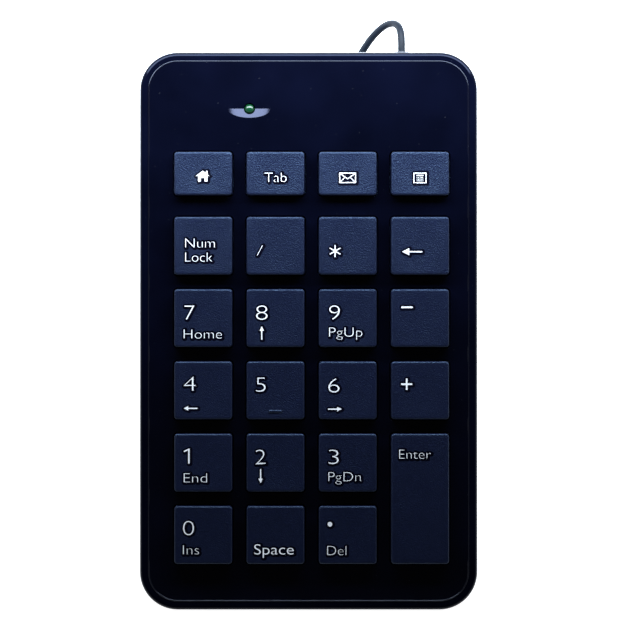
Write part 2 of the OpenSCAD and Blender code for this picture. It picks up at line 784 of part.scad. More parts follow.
// One closed tube through the points of a route.
module tube(route, r) {
    sides = 8;
    last = len(route) - 1;
    points = [for (i = [0:last]) each ring(route, i, r, sides)];
    walls = [
        for (i = [0:last - 1], s = [0:sides - 1])
            let (a = i * sides + s, b = i * sides + (s + 1) % sides)
            each [[a, b, b + sides], [a, b + sides, a + sides]]
    ];
    ends = [[for (s = [sides - 1:-1:0]) s], [for (s = [0:sides - 1]) last * sides + s]];
    polyhedron(points, concat(walls, ends));
}

module lead_cord() {
    color([0.22, 0.27, 0.34]) tube(lead_route, lead_d / 2);
}

module lead_tail() {
    color([0.22, 0.27, 0.34]) tube(tail_route, lead_d / 2);
}

// The rest of the lead, folded to and fro and drawn together at its waist by a tie.
module lead_hank() {
    color([0.22, 0.27, 0.34]) translate([hank_x, hank_y, hank_z0]) linear_extrude(hank_h) {
        for (end = [-1, 1]) translate([0, end * hank_run / 2]) circle(hank_r);
        square([2 * waist_half, hank_run], center = true);
    }
}

module hank_tie() {
    color([0.04, 0.04, 0.045]) translate([hank_x, hank_y, 0]) difference() {
        box(-waist_half - tie_t, waist_half + tie_t, -tie_l / 2, tie_l / 2, 0, hank_z0 + hank_h + tie_t);
        box(-waist_half, waist_half, -tie_l, tie_l, hank_z0, hank_z0 + hank_h);
    }
}

module plug_body() {
    color([0.10, 0.11, 0.14]) translate([plug_x, plug_y, plug_t / 2]) {
        rotate([-90, 0, 0]) linear_extrude(plug_l) rounded_outline(plug_w, plug_t, 1.6);
        rotate([90, 0, 0]) cylinder(r1 = 2.6, r2 = 1.7, h = plug_relief_l);
    }
}

module plug_shell() {
    color([0.78, 0.79, 0.81]) translate([plug_x, plug_y + plug_l, plug_t / 2]) rotate([-90, 0, 0])
        difference() {
            linear_extrude(shell_l) rounded_outline(shell_w, shell_t, 0.5);
            translate([0, 0, -eps]) linear_extrude(shell_l + 2 * eps)
                rounded_outline(shell_w - 2 * shell_sheet, shell_t - 2 * shell_sheet, 0.25);
            for (x = [-1, 1], side = [-1, 1])
                translate([x * 3, side * shell_t / 2, shell_l * 0.45]) cube([2.2, 1, 2.2], center = true);
        }
}

module plug_insert() {
    inner_half_t = shell_t / 2 - shell_sheet;
    color([0.85, 0.86, 0.85]) translate([plug_x, plug_y + plug_l, plug_t / 2])
        box(-shell_w / 2 + shell_sheet + 0.4, shell_w / 2 - shell_sheet - 0.4, 0, shell_l - 0.8,
            -inner_half_t, -inner_half_t + 1.8);
}

for (k = KEYS) key_cap(k);
top_case();
face_plate();
bottom_case();
support_plate();
membrane_bottom();
membrane_spacer();
membrane_top();
dome_sheet();
controller_board();
controller_chip();
crystal();
capacitors();
membrane_clamp();
board_screws();
led();
led_legs();
lead_connector();
inner_wires();
enter_stabiliser();
case_screws();
front_pads();
rear_pads();
tilt_foot(-1);  // tilt_foot_left
tilt_foot(1);  // tilt_foot_right
foot_tip(-1);  // foot_tip_left
foot_tip(1);  // foot_tip_right
rating_label();
strain_relief();
lead_cord();
lead_hank();
hank_tie();
lead_tail();
plug_body();
plug_shell();
plug_insert();
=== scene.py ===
"""Numeric keypad: keys, legends, lamp, lead, plug, feet and studio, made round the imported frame.

Sizes are in metres. Most pieces are worked out lying flat, in `flat` axes: x to the right, v to the rear and
w up out of the face. `stand` leans them back to where the keypad stands on its open tilt feet.
"""

import json
import math

import bpy
import numpy as np
from bpy.props import FloatProperty, FloatVectorProperty, IntProperty, PointerProperty
from bpy.types import Operator, Panel, PropertyGroup
from mathutils import Matrix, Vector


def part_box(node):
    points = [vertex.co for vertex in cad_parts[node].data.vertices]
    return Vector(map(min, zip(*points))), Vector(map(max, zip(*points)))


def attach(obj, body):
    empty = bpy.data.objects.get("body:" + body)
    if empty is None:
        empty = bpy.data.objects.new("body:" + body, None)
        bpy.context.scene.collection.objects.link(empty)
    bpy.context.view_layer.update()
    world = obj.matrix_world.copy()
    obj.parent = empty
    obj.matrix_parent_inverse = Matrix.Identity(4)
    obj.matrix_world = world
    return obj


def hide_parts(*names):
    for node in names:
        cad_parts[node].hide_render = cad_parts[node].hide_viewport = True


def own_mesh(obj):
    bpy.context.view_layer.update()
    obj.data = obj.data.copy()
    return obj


bl_info = {
    "name": "Numeric keypad",
    "version": (1, 0, 0),
    "blender": (4, 5, 0),
    "location": "3D View > Sidebar > Keypad",
    "description": "Builds a wired numeric keypad with its legends, lead, plug and studio",
    "category": "Add Mesh",
}

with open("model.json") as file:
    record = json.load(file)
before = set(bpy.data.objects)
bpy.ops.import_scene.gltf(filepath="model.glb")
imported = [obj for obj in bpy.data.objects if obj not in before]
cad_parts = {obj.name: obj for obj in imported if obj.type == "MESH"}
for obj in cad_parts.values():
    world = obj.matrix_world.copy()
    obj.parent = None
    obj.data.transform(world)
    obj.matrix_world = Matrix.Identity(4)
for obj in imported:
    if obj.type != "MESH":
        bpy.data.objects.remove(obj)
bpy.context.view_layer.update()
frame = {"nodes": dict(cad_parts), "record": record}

MM = 0.001
HOUSING = "housing"
SLOT_OF = {part["node"]: part["material_slot"] for part in frame["record"]["subparts"]}
KEYS = [node for node, slot in SLOT_OF.items() if slot == "keycap"]
MADE = {}


# ---------------------------------------------------------------------------
# Sizes, colours and studio settings


def length(name, description, default):
    return FloatProperty(
        name=name, description=description, default=default, unit="LENGTH", subtype="DISTANCE", precision=5
    )


def colour(name, description, default):
    return FloatVectorProperty(
        name=name, description=description, default=default, size=3, min=0, max=1, subtype="COLOR"
    )


class KeypadSizes(PropertyGroup):
    lean: FloatProperty(
        name="Lean",
        description="Backward lean of the case on its open tilt feet",
        default=math.radians(4),
        subtype="ANGLE",
    )
    key_edge: length("Key edge", "Radius of the soft edge round a key top", 0.42 * MM)
    key_corner: length("Key corner", "Radius of a key's upright corners", 1.0 * MM)
    key_dish: length("Key dish", "Depth of the hollow in a key top", 0.16 * MM)
    key_draft: length("Key draft", "How much a key is smaller at its top edge", 0.1 * MM)
    key_wall: length("Key wall", "Thickness of a key's walls", 1.2 * MM)
    key_roof: length("Key roof", "Thickness of a key's roof", 1.4 * MM)
    flange_out: length("Flange reach", "How far a key's flange stands out at its foot", 0.85 * MM)
    flange_thick: length("Flange", "Thickness of a key's flange", 0.8 * MM)
    post_r: length("Post radius", "Radius of the post under a key", 1.6 * MM)
    ink: length("Ink", "Height of the printed legends over a key top", 0.03 * MM)
    key_travel: length("Key travel", "How far a key goes down", 2.0 * MM)
    sheet_thick: length("Sheet", "Thickness of the silicone sheet", 0.4 * MM)
    sheet_in: length("Sheet inset", "How far the sheet stays clear of the screw bosses", 0.6 * MM)
    dome_r: length("Dome radius", "Radius of a silicone dome at its foot", 3.3 * MM)
    dome_top_r: length("Dome top", "Radius of a silicone dome at its top", 1.9 * MM)
    dome_wall: length("Dome wall", "Thickness of a silicone dome", 0.5 * MM)
    # Legend shadow: a painted shadow, dark ink grown round each legend and shifted to the right and front.
    shadow_r: length("Legend ground", "How far the dark ground reaches round a legend", 0.6 * MM)
    shadow_right: length("Ground right", "How far the ground lies to the right", 0.16 * MM)
    shadow_front: length("Ground front", "How far the ground lies to the front", 0.1 * MM)
    bar_l: length("Homing bar", "Length of the bar on the middle key", 3.7 * MM)
    dish_l: length("Lamp dish length", "Length of the dish round the lamp", 11.2 * MM)
    dish_w: length("Lamp dish width", "Width of the dish round the lamp", 4.8 * MM)
    dish_deep: length("Lamp dish depth", "Depth of the dish's fold", 0.72 * MM)
    plate_corner: length("Plate corner", "Radius of the face plate's corners", 7.8 * MM)
    bead_r: length("Plate bead", "Radius of the bead round the face plate", 0.2 * MM)
    lead_d: length("Lead", "Diameter of the lead", 2.0 * MM)
    lead_l: length("Lead length", "Length of the lead from the case to the plug", 0.91)
    hank_run: length("Hank run", "Length of a straight run of the folded lead", 38 * MM)
    waist_pull: length("Waist", "How far the tie draws the runs together", 5 * MM)


class KeypadColours(PropertyGroup):
    key: colour("Keys", "Moulded key caps", (0.0032, 0.0041, 0.0185))
    gloss: colour("Gloss case", "Polished upper case and face plate", (0.0009, 0.0013, 0.0050))
    matt: colour("Matt case", "Textured lower case and feet", (0.012, 0.013, 0.019))
    legend: colour("Legends", "Printed legends", (0.88, 0.90, 0.93))
    lamp: colour("Lamp", "Tinted lens of the lamp", (0.003, 0.034, 0.012))
    jacket: colour("Lead", "Jacket of the lead", (0.0036, 0.0060, 0.0105))
    moulding: colour("Plug", "Moulded body of the plug", (0.018, 0.020, 0.027))
    floor: colour("Floor", "Studio floor", (0.90, 0.90, 0.90))


class StudioSettings(PropertyGroup):
    camera_far: length("Camera distance", "Distance of the camera from the face", 0.8)
    view_w: length("View width", "Width of the view at the face", 163.6 * MM)
    aim_x: length("Aim right", "Aim of the camera to the right of the case's middle", 0.5 * MM)
    aim_v: length("Aim rear", "Aim of the camera to the rear of the case's middle", 5.4 * MM)
    rear_power: FloatProperty(
        name="Rear light", description="Power of the soft light behind the keypad", default=1.45, unit="POWER"
    )
    rear_back: length("Rear light back", "How far behind the face plate the rear light hangs", 46 * MM)
    rear_up: length("Rear light up", "How far over the face the rear light hangs", 62 * MM)
    rear_tint: colour("Rear light tint", "Colour of the soft light behind the keypad", (0.78, 0.88, 1.0))
    walls: FloatProperty(name="Walls", description="Brightness of the studio's walls", default=1.0)
    ceiling: FloatProperty(name="Ceiling", description="Brightness of the dark ceiling", default=0.012)
    floor_glow: FloatProperty(name="Floor glow", description="Light that the floor gives off", default=1.05)


def sizes():
    return bpy.context.scene.keypad_sizes


def colours():
    return bpy.context.scene.keypad_colours


def studio():
    return bpy.context.scene.keypad_studio


# ---------------------------------------------------------------------------
# Flat axes


def stand(points):
    """Flat points (x, v, w) turned back about the x axis by the lean: y = v cos - w sin, z = v sin + w cos."""
    p = np.asarray(points, float)
    c, s = math.cos(sizes().lean), math.sin(sizes().lean)
    return np.stack([p[..., 0], p[..., 1] * c - p[..., 2] * s, p[..., 1] * s + p[..., 2] * c], axis=-1)


def lay_flat(points):
    """The reverse of stand: v = y cos + z sin, w = z cos - y sin."""
    p = np.asarray(points, float)
    c, s = math.cos(sizes().lean), math.sin(sizes().lean)
    return np.stack([p[..., 0], p[..., 1] * c + p[..., 2] * s, p[..., 2] * c - p[..., 1] * s], axis=-1)


def points_of(mesh):
    """All points of a mesh as one array (count, 3)."""
    co = np.empty(len(mesh.vertices) * 3)
    mesh.vertices.foreach_get("co", co)
    return co.reshape(-1, 3)


def node_points(node):
    return points_of(frame["nodes"][node].data)


def flat_box(node):
    """Lowest and highest flat corner of a CAD node."""
    p = lay_flat(node_points(node))
    return p.min(0), p.max(0)


def middle_half(low, high):
    """Middle and half sizes of the box between two corners."""
    low, high = np.array(low), np.array(high)
    return (low + high) / 2, (high - low) / 2


# ---------------------------------------------------------------------------
# Surfaces


def grid_faces(rows, columns, rows_close, columns_close):
    """Quads between neighbouring rows and columns of a grid, wrapping round where the grid closes on itself."""
    i = np.arange(rows if rows_close else rows - 1)
    j = np.arange(columns if columns_close else columns - 1)
    i, j = np.meshgrid(i, j, indexing="ij")
    i, j = i.ravel(), j.ravel()
    i2, j2 = (i + 1) % rows, (j + 1) % columns
    return np.stack([i * columns + j, i * columns + j2, i2 * columns + j2, i2 * columns + j], axis=1)


def as_mesh(name, points, faces, sharp=35):
    """A mesh object from points and faces, smooth but for edges that turn by more than `sharp` degrees."""
    mesh = bpy.data.meshes.new(name)
    mesh.from_pydata(np.asarray(points).reshape(-1, 3).tolist(), [], faces)
    mesh.validate()
    mesh.update()
    mesh.shade_smooth()
    mesh.set_sharp_from_angle(angle=math.radians(sharp))
    piece = bpy.data.objects.new(name, mesh)
    bpy.context.scene.collection.objects.link(piece)
    return piece


def turned_out(piece):
    """Turns a closed piece's faces outward: their signed volume has to be positive."""
    mesh = piece.data
    mesh.calc_loop_triangles()
    corner = np.array([t.vertices for t in mesh.loop_triangles])
    a, b, c = (points_of(mesh)[corner[:, k]] for k in range(3))
    if np.einsum("ij,ij->i", a, np.cross(b, c)).sum() < 0:
        mesh.flip_normals()
    return piece


def end_faces(m, n):
    """The first and the last of m rings of n points, each filled with one face."""
    return [list(range(n))[::-1], list(range((m - 1) * n, m * n))]


def skin(name, rings, ring_closes=False, sharp=35):
    """A closed piece from rings of points, (rings, points round, 3): one quad between each pair of neighbours.
    Where the row of rings doesn't close on itself, each end ring is filled with one face."""
    m, n = rings.shape[:2]
    faces = grid_faces(m, n, ring_closes, True).tolist()
    if not ring_closes:
        faces += end_faces(m, n)
    return turned_out(as_mesh(name, rings, faces, sharp))


def merged(name, parts, sharp=35):
    """One piece from several point and face lists."""
    points, faces, base = [], [], 0
    for p, f in parts:
        p = np.asarray(p, float).reshape(-1, 3)
        points.append(p)
        faces += [[base + k for k in face] for face in f]
        base += len(p)
    return as_mesh(name, np.concatenate(points), faces, sharp)


def solid_rings(rings):
    """Points and outward faces of a closed skin with filled ends, for use in `merged`."""
    m, n = rings.shape[:2]
    faces = grid_faces(m, n, False, True)
    flat = rings.reshape(-1, 3)
    a, b, c, d = (flat[faces[:, k]] for k in range(4))
    inside = np.einsum("ij,ij->", a, np.cross(b, c)) + np.einsum("ij,ij->", a, np.cross(c, d))
    for ring, sign in ((flat[:n], -1), (flat[(m - 1) * n :], 1)):
        inside += sign * np.dot(ring.mean(0), np.cross(ring, np.roll(ring, -1, 0)).sum(0))
    faces = faces.tolist() + end_faces(m, n)
    return flat, [face[::-1] for face in faces] if inside < 0 else faces


def round_rectangle(half_x, half_y, r, corner=6, side=6):
    """Outlines of rounded rectangles, one row each: at an angle that steps evenly through each corner the point is
    the corner's centre plus r times (cos, sin), and the straight sides between corners are stepped evenly."""
    half_x, half_y, r = (np.atleast_1d(np.asarray(value, float))[:, None] for value in (half_x, half_y, r))
    r = np.minimum(r, np.minimum(half_x, half_y))
    rows = []
    for k, (sx, sy) in enumerate(((1, 1), (-1, 1), (-1, -1), (1, -1))):
        angle = math.pi / 2 * (k + np.linspace(0, 1, corner + 1))[None, :]
        cx, cy = sx * (half_x - r), sy * (half_y - r)
        x, y = cx + r * np.cos(angle), cy + r * np.sin(angle)
        nx, ny = ((-1, 1), (-1, -1), (1, -1), (1, 1))[k]
        end = math.pi / 2 * (k + 1)
        qx, qy = nx * (half_x - r) + r * math.cos(end), ny * (half_y - r) + r * math.sin(end)
        t = (np.arange(1, side) / side)[None, :]
        rows.append(np.stack([x, y], axis=-1))
        rows.append(np.stack([x[:, -1:] * (1 - t) + qx * t, y[:, -1:] * (1 - t) + qy * t], axis=-1))
    return np.concatenate(rows, axis=1)


def levels(outline, height):
    """Rings (x, y, z) from outlines (rings, points, 2) and one height a ring."""
    h = np.broadcast_to(np.asarray(height, float)[:, None], outline.shape[:2])
    return np.concatenate([outline, h[..., None]], axis=-1)


def unit(vectors):
    return vectors / np.linalg.norm(vectors, axis=-1, keepdims=True)


def carried(path, profile):
    """Rings of a profile (n, 2) carried along a path (m, 3): path point + across times p + rise times q. Across is
    the path's direction crossed with straight up, and rise is square to both."""
    along = unit(np.gradient(path, axis=0))
    across = unit(np.cross(along, [0.0, 0.0, 1.0]))
    rise = np.cross(across, along)
    return path[:, None] + across[:, None] * profile[None, :, :1] + rise[:, None] * profile[None, :, 1:]


def carried_round(path, section, axis):
    """Rings of a section carried round a closed path that lies square to `axis`: path point + outward times p +
    axis times q, outward being the path's direction crossed with the axis."""
    outward = np.cross(unit(np.roll(path, -1, 0) - np.roll(path, 1, 0)), axis)
    return path[:, None] + outward[:, None] * section[None, :, :1] + np.array(axis) * section[None, :, 1:]


def circle(r, n):
    """n points at even angles on a circle."""
    a = np.linspace(0, 2 * math.pi, n, endpoint=False)
    return np.stack([r * np.cos(a), r * np.sin(a)], axis=-1)


def smooth_path(points, step):
    """A cubic spline through the points over their chord length, sampled at even steps. Its second derivatives M
    come from one linear system: h0 M0 + 2 (h0 + h1) M1 + h1 M2 = 6 (slope1 - slope0), with M zero at both ends."""
    p = np.asarray(points, float)
    n = len(p)
    h = np.linalg.norm(np.diff(p, axis=0), axis=1)
    at = np.concatenate([[0], np.cumsum(h)])
    slope = np.diff(p, axis=0) / h[:, None]
    system = np.eye(n)
    inner = np.arange(1, n - 1)
    system[inner, inner - 1] = h[:-1]
    system[inner, inner] = 2 * (h[:-1] + h[1:])
    system[inner, inner + 1] = h[1:]
    right = np.zeros((n, 3))
    right[1:-1] = 6 * np.diff(slope, axis=0)
    bend = np.linalg.solve(system, right)
    s = np.linspace(0, at[-1], max(2, int(at[-1] / step)))
    k = np.clip(np.searchsorted(at, s, side="right") - 1, 0, n - 2)
    a, b, w = (at[k + 1] - s)[:, None], (s - at[k])[:, None], h[k][:, None]
    return (
        (a**3 * bend[k] + b**3 * bend[k + 1]) / (6 * w)
        + (p[k] / w - bend[k] * w / 6) * a
        + (p[k + 1] / w - bend[k + 1] * w / 6) * b
    )


def placed(piece, finish, body=HOUSING, replaces=()):
    """Gives a piece its finish and the body it rides on, and hides the CAD nodes it stands for."""
    piece.data.materials.clear()
    piece.data.materials.append(MADE[finish])
    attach(piece, body)
    if replaces:
        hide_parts(*replaces)
    return piece


# ---------------------------------------------------------------------------
# Shader maths


class Value:
    """A number on a socket. Arithmetic on it adds Math nodes to its finish."""

    def __init__(self, finish, socket):
        self.finish, self.socket = finish, socket

    def maths(self, operation, first, second=0.0):
        return self.finish.node("ShaderNodeMath", {"operation": operation}, {0: first, 1: second})

    def __add__(self, other):
        return self.maths("ADD", self, other)

    def __radd__(self, other):
        return self.maths("ADD", other, self)

    def __sub__(self, other):
        return self.maths("SUBTRACT", self, other)

    def __mul__(self, other):
        return self.maths("MULTIPLY", self, other)

    def __rmul__(self, other):
        return self.maths("MULTIPLY", other, self)

    def __truediv__(self, other):
        return self.maths("DIVIDE", self, other)

    def above(self, limit):
        return self.maths("GREATER_THAN", self, limit)

    def below(self, limit):
        return self.maths("LESS_THAN", self, limit)

    def most(self, other):
        return self.maths("MAXIMUM", self, other)

    def fold(self, limit):
        return self.maths("PINGPONG", self, limit)

    def sine(self):
        return self.maths("SINE", self)

    def size(self):
        return self.maths("ABSOLUTE", self)


class Network:
    """A shader network being built: `node` adds any node, and the rest are short cuts to it."""

    def __init__(self, owner):
        owner.use_nodes = True
        self.tree = owner.node_tree
        self.tree.nodes.clear()

    def node(self, kind, settings=None, inputs=None, out=0):
        made = self.tree.nodes.new(kind)
        for key, value in (settings or {}).items():
            if key == "stops":
                ramp = made.color_ramp
                while len(ramp.elements) < len(value):
                    ramp.elements.new(0.5)
                for element, (at, shade) in zip(ramp.elements, value):
                    element.position = at
                    element.color = (shade, shade, shade, 1) if np.isscalar(shade) else (*shade, 1)
            else:
                setattr(made, key, value)
        for key, value in (inputs or {}).items():
            if isinstance(value, Value):
                self.tree.links.new(value.socket, made.inputs[key])
            elif isinstance(value, tuple) and len(value) == 3 and made.inputs[key].type == "RGBA":
                made.inputs[key].default_value = (*value, 1)
            else:
                made.inputs[key].default_value = value
        return None if out is None else Value(self, made.outputs[out])

    def parts(self, vector):
        x = self.node("ShaderNodeSeparateXYZ", {}, {0: vector})
        made = x.socket.node
        return x, Value(self, made.outputs[1]), Value(self, made.outputs[2])

    def noise(self, vector, scale, detail=2.0, rough=0.5):
        return self.node(
            "ShaderNodeTexNoise", {}, {"Vector": vector, "Scale": scale, "Detail": detail, "Roughness": rough}
        )

    def cells(self, vector, scale, feature="F1"):
        return self.node("ShaderNodeTexVoronoi", {"feature": feature}, {"Vector": vector, "Scale": scale})

    def ramp(self, value, stops):
        return self.node("ShaderNodeValToRGB", {"stops": stops}, {"Fac": value})

    def mix(self, factor, a, b):
        return self.node("ShaderNodeMix", {"data_type": "RGBA"}, {0: factor, 6: a, 7: b}, 2)

    def bump(self, height, strength, distance):
        return self.node("ShaderNodeBump", {}, {"Height": height, "Strength": strength, "Distance": distance})


class Finish(Network):
    """A material being built."""

    def __init__(self, name):
        self.material = bpy.data.materials.new(name)
        super().__init__(self.material)
        self.here = self.node("ShaderNodeTexCoord", out="Object")

    def position(self, scale=(1, 1, 1), turn=(0, 0, 0)):
        """Object coordinates, in millimetres where the scale is 1."""
        size = tuple(s / MM for s in scale)
        return self.node("ShaderNodeMapping", {}, {"Vector": self.here, "Scale": size, "Rotation": turn})

    def shade(self, **inputs):
        """Ends the finish in one Principled shader with these inputs, their names written with _ for spaces."""
        named = {key.replace("_", " "): value for key, value in inputs.items()}
        self.node("ShaderNodeOutputMaterial", {}, {"Surface": self.node("ShaderNodeBsdfPrincipled", {}, named)}, None)
        return self.material


def scaled(shade, factor):
    return tuple(min(1.0, c * factor) for c in shade)


# ---------------------------------------------------------------------------
# Finishes


def leather_plastic(name, shade):
    """Soft matt moulding with a fine leather-like grain of rounded cells, painted shade in the grain's hollows, and a
    slow drift in its colour.
    """
    f = Finish(name)
    at = f.position()
    warp = f.noise(at, 0.9, 2)
    grain = f.cells(at, 4.0, "SMOOTH_F1")
    fine = f.noise(at, 11.0, 3, 0.6)
    height = grain * 0.7 + fine * 0.35
    base = f.mix(f.ramp(warp, [(0.3, 0), (0.7, 1)]), scaled(shade, 0.86), scaled(shade, 1.16))
    # Painted shade: darker where the grain's cells sink.
    base = f.mix(f.ramp(grain, [(0.05, 1), (0.5, 0)]), base, scaled(shade, 0.7))
    return f.shade(
        Base_Color=base,
        Roughness=f.ramp(fine * 0.6 + grain * 0.4, [(0.2, 0.33), (0.8, 0.47)]),
        Specular_IOR_Level=0.5,
        Specular_Tint=(0.42, 0.66, 1.0, 1.0),
        Normal=f.bump(height, 0.75, 0.00016),
    )


def polished_plastic(name, shade, rough=0.055, glint=(1.0, 1.0, 1.0)):
    """Glossy moulding: almost even, with a very faint ripple, specks of dust and fine rub marks."""
    f = Finish(name)
    at = f.position()
    drift = f.noise(at, 0.06, 2)
    rub = f.noise(f.position((0.25, 9, 9), (0, 0, 0.6)), 0.8, 2)
    rub = f.ramp(rub, [(0.62, 0), (0.74, 1)])
    dust = f.ramp(f.cells(at, 0.45), [(0.018, 1), (0.05, 0)])
    ripple = f.noise(at, 0.5, 2)
    base = f.mix(f.ramp(drift, [(0.35, 0), (0.65, 1)]), scaled(shade, 0.8), scaled(shade, 1.25))
    base = f.mix(dust * 0.25, base, (0.05, 0.055, 0.07))
    return f.shade(
        Base_Color=base,
        Roughness=rough + rub * 0.05 + dust * 0.3,
        Specular_IOR_Level=0.5,
        Specular_Tint=(*glint, 1.0),
        Normal=f.bump(ripple, 0.05, 0.00002),
    )


def sparked_plastic(name, shade, grain=3.2, depth=0.00006, rough=0.62):
    """Matt moulding with the pitted texture of a spark-eroded mould, painted shade in its pits, and paler where hands
    rub it.
    """
    f = Finish(name)
    at = f.position()
    pits = f.noise(at, grain, 4, 0.65)
    rub = f.noise(at, 0.05, 3)
    base = f.mix(f.ramp(rub, [(0.4, 0), (0.68, 1)]), shade, scaled(shade, 1.5))
    # Painted shade: darker in the pits, where the bump sinks.
    base = f.mix(f.ramp(pits, [(0.3, 1), (0.5, 0)]), base, scaled(shade, 0.6))
    return f.shade(
        Base_Color=base,
        Roughness=f.ramp(rub * 0.5 + pits * 0.5, [(0.3, rough + 0.08), (0.7, rough - 0.1)]),
        Normal=f.bump(pits, 0.6, depth),
    )


def rubber(name, shade, rough=0.7, grain=2.5):
    """Soft rubber: matt, finely pitted, with pale dust in its hollows."""
    f = Finish(name)
    at = f.position()
    pits = f.noise(at, grain, 4, 0.7)
    bloom = f.noise(at, 0.2, 2)
    base = f.mix(f.ramp(bloom, [(0.45, 0), (0.75, 0.5)]), shade, scaled(shade, 1.9))
    return f.shade(
        Base_Color=base,
        Roughness=f.ramp(pits, [(0.3, rough + 0.12), (0.7, rough - 0.08)]),
        Normal=f.bump(pits, 0.5, 0.00005),
    )


def metal(name, shade, rough, streak=(0.15, 6, 6), dull=0.12):
    """Bare or plated metal with long fine streaks and dull patches."""
    f = Finish(name)
    lines = f.noise(f.position(streak), 1.4, 4, 0.6)
    patch = f.noise(f.position(), 0.3, 3)
    base = f.mix(f.ramp(patch, [(0.4, 0), (0.7, 1)]), shade, scaled(shade, 0.82))
    return f.shade(
        Base_Color=base,
        Metallic=1.0,
        Roughness=rough + lines * 0.1 + f.ramp(patch, [(0.5, 0), (0.8, dull)]),
        Normal=f.bump(lines, 0.25, 0.00003),
    )


def satin_plastic(name, shade, rough=0.4):
    """Plain moulding for parts inside the case: satin, with faint flow marks."""
    f = Finish(name)
    flow = f.noise(f.position((1, 0.3, 1)), 0.8, 3)
    base = f.mix(f.ramp(flow, [(0.3, 0), (0.7, 1)]), scaled(shade, 0.9), scaled(shade, 1.06))
    return f.shade(
        Base_Color=base,
        Roughness=rough + 0.15 * flow,
        Normal=f.bump(flow, 0.2, 0.00003),
    )


def board_finish(name, shade):
    """Solder mask with slightly paler copper tracks under it and bare pads at the crossings."""
    f = Finish(name)
    x, y = f.parts(f.position())[:2]
    row, column = x.fold(0.8), y.fold(1.3)
    way = f.noise(f.position((0.3, 0.3, 0.3)), 0.6, 0)
    track = way.above(0.5) * row.below(0.2) + way.below(0.5) * column.below(0.2)
    pad = row.below(0.25) * column.below(0.3)
    grain = f.noise(f.position(), 3, 2)
    base = f.mix(track * 0.8, f.mix(grain * 0.4, shade, scaled(shade, 0.7)), scaled(shade, 1.9))
    base = f.mix(pad * 0.9, base, (0.62, 0.60, 0.55))
    return f.shade(
        Base_Color=base,
        Roughness=0.28 + 0.2 * grain,
        Normal=f.bump(track + 0.3 * grain, 0.4, 0.00004),
    )


def wires_finish(name, shade):
    """Insulation of four wires, one colour for each height in the connector."""
    f = Finish(name)
    across = f.parts(f.position())[2]
    sheen = f.noise(f.position(), 1.5, 2)
    band = 1.24
    order = across.fold(band) / band
    bands = [(0.0, shade), (0.25, (0.02, 0.02, 0.02)), (0.5, (0.6, 0.6, 0.6)), (0.75, (0.02, 0.25, 0.06))]
    return f.shade(Base_Color=f.ramp(order, bands), Roughness=0.4 + 0.15 * sheen, Normal=f.bump(sheen, 0.2, 0.00003))


def film_finish(name, shade):
    """Printed polyester film: satin, with a faint pattern of silver ink tracks."""
    f = Finish(name)
    x, y = f.parts(f.position())[:2]
    line = (x + 0.35 * y).fold(1.2).below(0.3)
    grain = f.noise(f.position(), 1.2, 3)
    base = f.mix(line * 0.6, shade, (0.45, 0.46, 0.47))
    return f.shade(
        Base_Color=f.mix(grain * 0.2, base, scaled(shade, 0.9)),
        Roughness=0.25 + 0.15 * grain,
        Normal=f.bump(line + grain * 0.2, 0.3, 0.00002),
    )


def label_finish(name, shade):
    """Blank satin label: brushed silver with a darker printed border and two faint ruled boxes."""
    f = Finish(name)
    middle, half = ((value / MM).tolist() for value in middle_half(*flat_box("rating_label")))
    c, s = math.cos(sizes().lean), math.sin(sizes().lean)
    x, y, z = f.parts(f.position())
    v = (y * c + z * s - middle[1]).size()
    across = (x - middle[0]).size()
    inside, inner = (across.below(half[0] - edge) * v.below(half[1] - edge) for edge in (1.6, 1.9))
    brush = f.noise(f.position((0.1, 8, 8)), 1.2, 3)
    border = inside - inner
    rule = v.below(0.12) * inner
    base = f.mix(brush, scaled(shade, 0.85), scaled(shade, 1.05))
    base = f.mix(border.most(rule) * 0.85, base, (0.06, 0.06, 0.07))
    return f.shade(
        Base_Color=base,
        Metallic=0.35,
        Roughness=0.34 + 0.14 * brush,
        Normal=f.bump(brush, 0.2, 0.00002),
    )


def legend_finish(name, shade, sheen=0.5):
    """Printed ink: slightly uneven cover, satin, with a faint wear at random spots."""
    f = Finish(name)
    at = f.position()
    cover = f.noise(at, 5.0, 3)
    worn = f.noise(at, 0.35, 2)
    base = f.mix(f.ramp(cover, [(0.25, 0), (0.6, 1)]), scaled(shade, 0.86), shade)
    base = f.mix(f.ramp(worn, [(0.62, 0), (0.85, 0.4)]), base, scaled(shade, 0.7))
    return f.shade(
        Base_Color=base,
        Roughness=0.45 + 0.15 * cover,
        Specular_IOR_Level=sheen,
        Normal=f.bump(cover, 0.2, 0.00001),
    )


def lamp_finish(name, shade):
    """Tinted lens: deep green, with painted light that makes it brighter towards its crown, and a clear glossy skin.
    """
    f = Finish(name)
    top = float(flat_box("led")[1][2] / MM)
    crown = 1.2
    c, s = math.cos(sizes().lean), math.sin(sizes().lean)
    y, z = f.parts(f.position())[1:]
    up = z * c - y * s - top + crown
    flow = f.noise(f.position(), 1.6, 2)
    # Painted light: the colour brightens over the top `crown` millimetres of the lens.
    glow = f.ramp(up / crown, [(0.1, 0), (0.95, 1)])
    base = f.mix(glow, scaled(shade, 0.35), shade)
    return f.shade(
        Base_Color=f.mix(flow * 0.3, base, scaled(shade, 0.6)),
        Roughness=0.14 + 0.06 * flow,
        Specular_IOR_Level=0.3,
        Coat_Weight=0.25,
        Coat_Roughness=0.03,
        Normal=f.bump(flow, 0.08, 0.00003),
    )


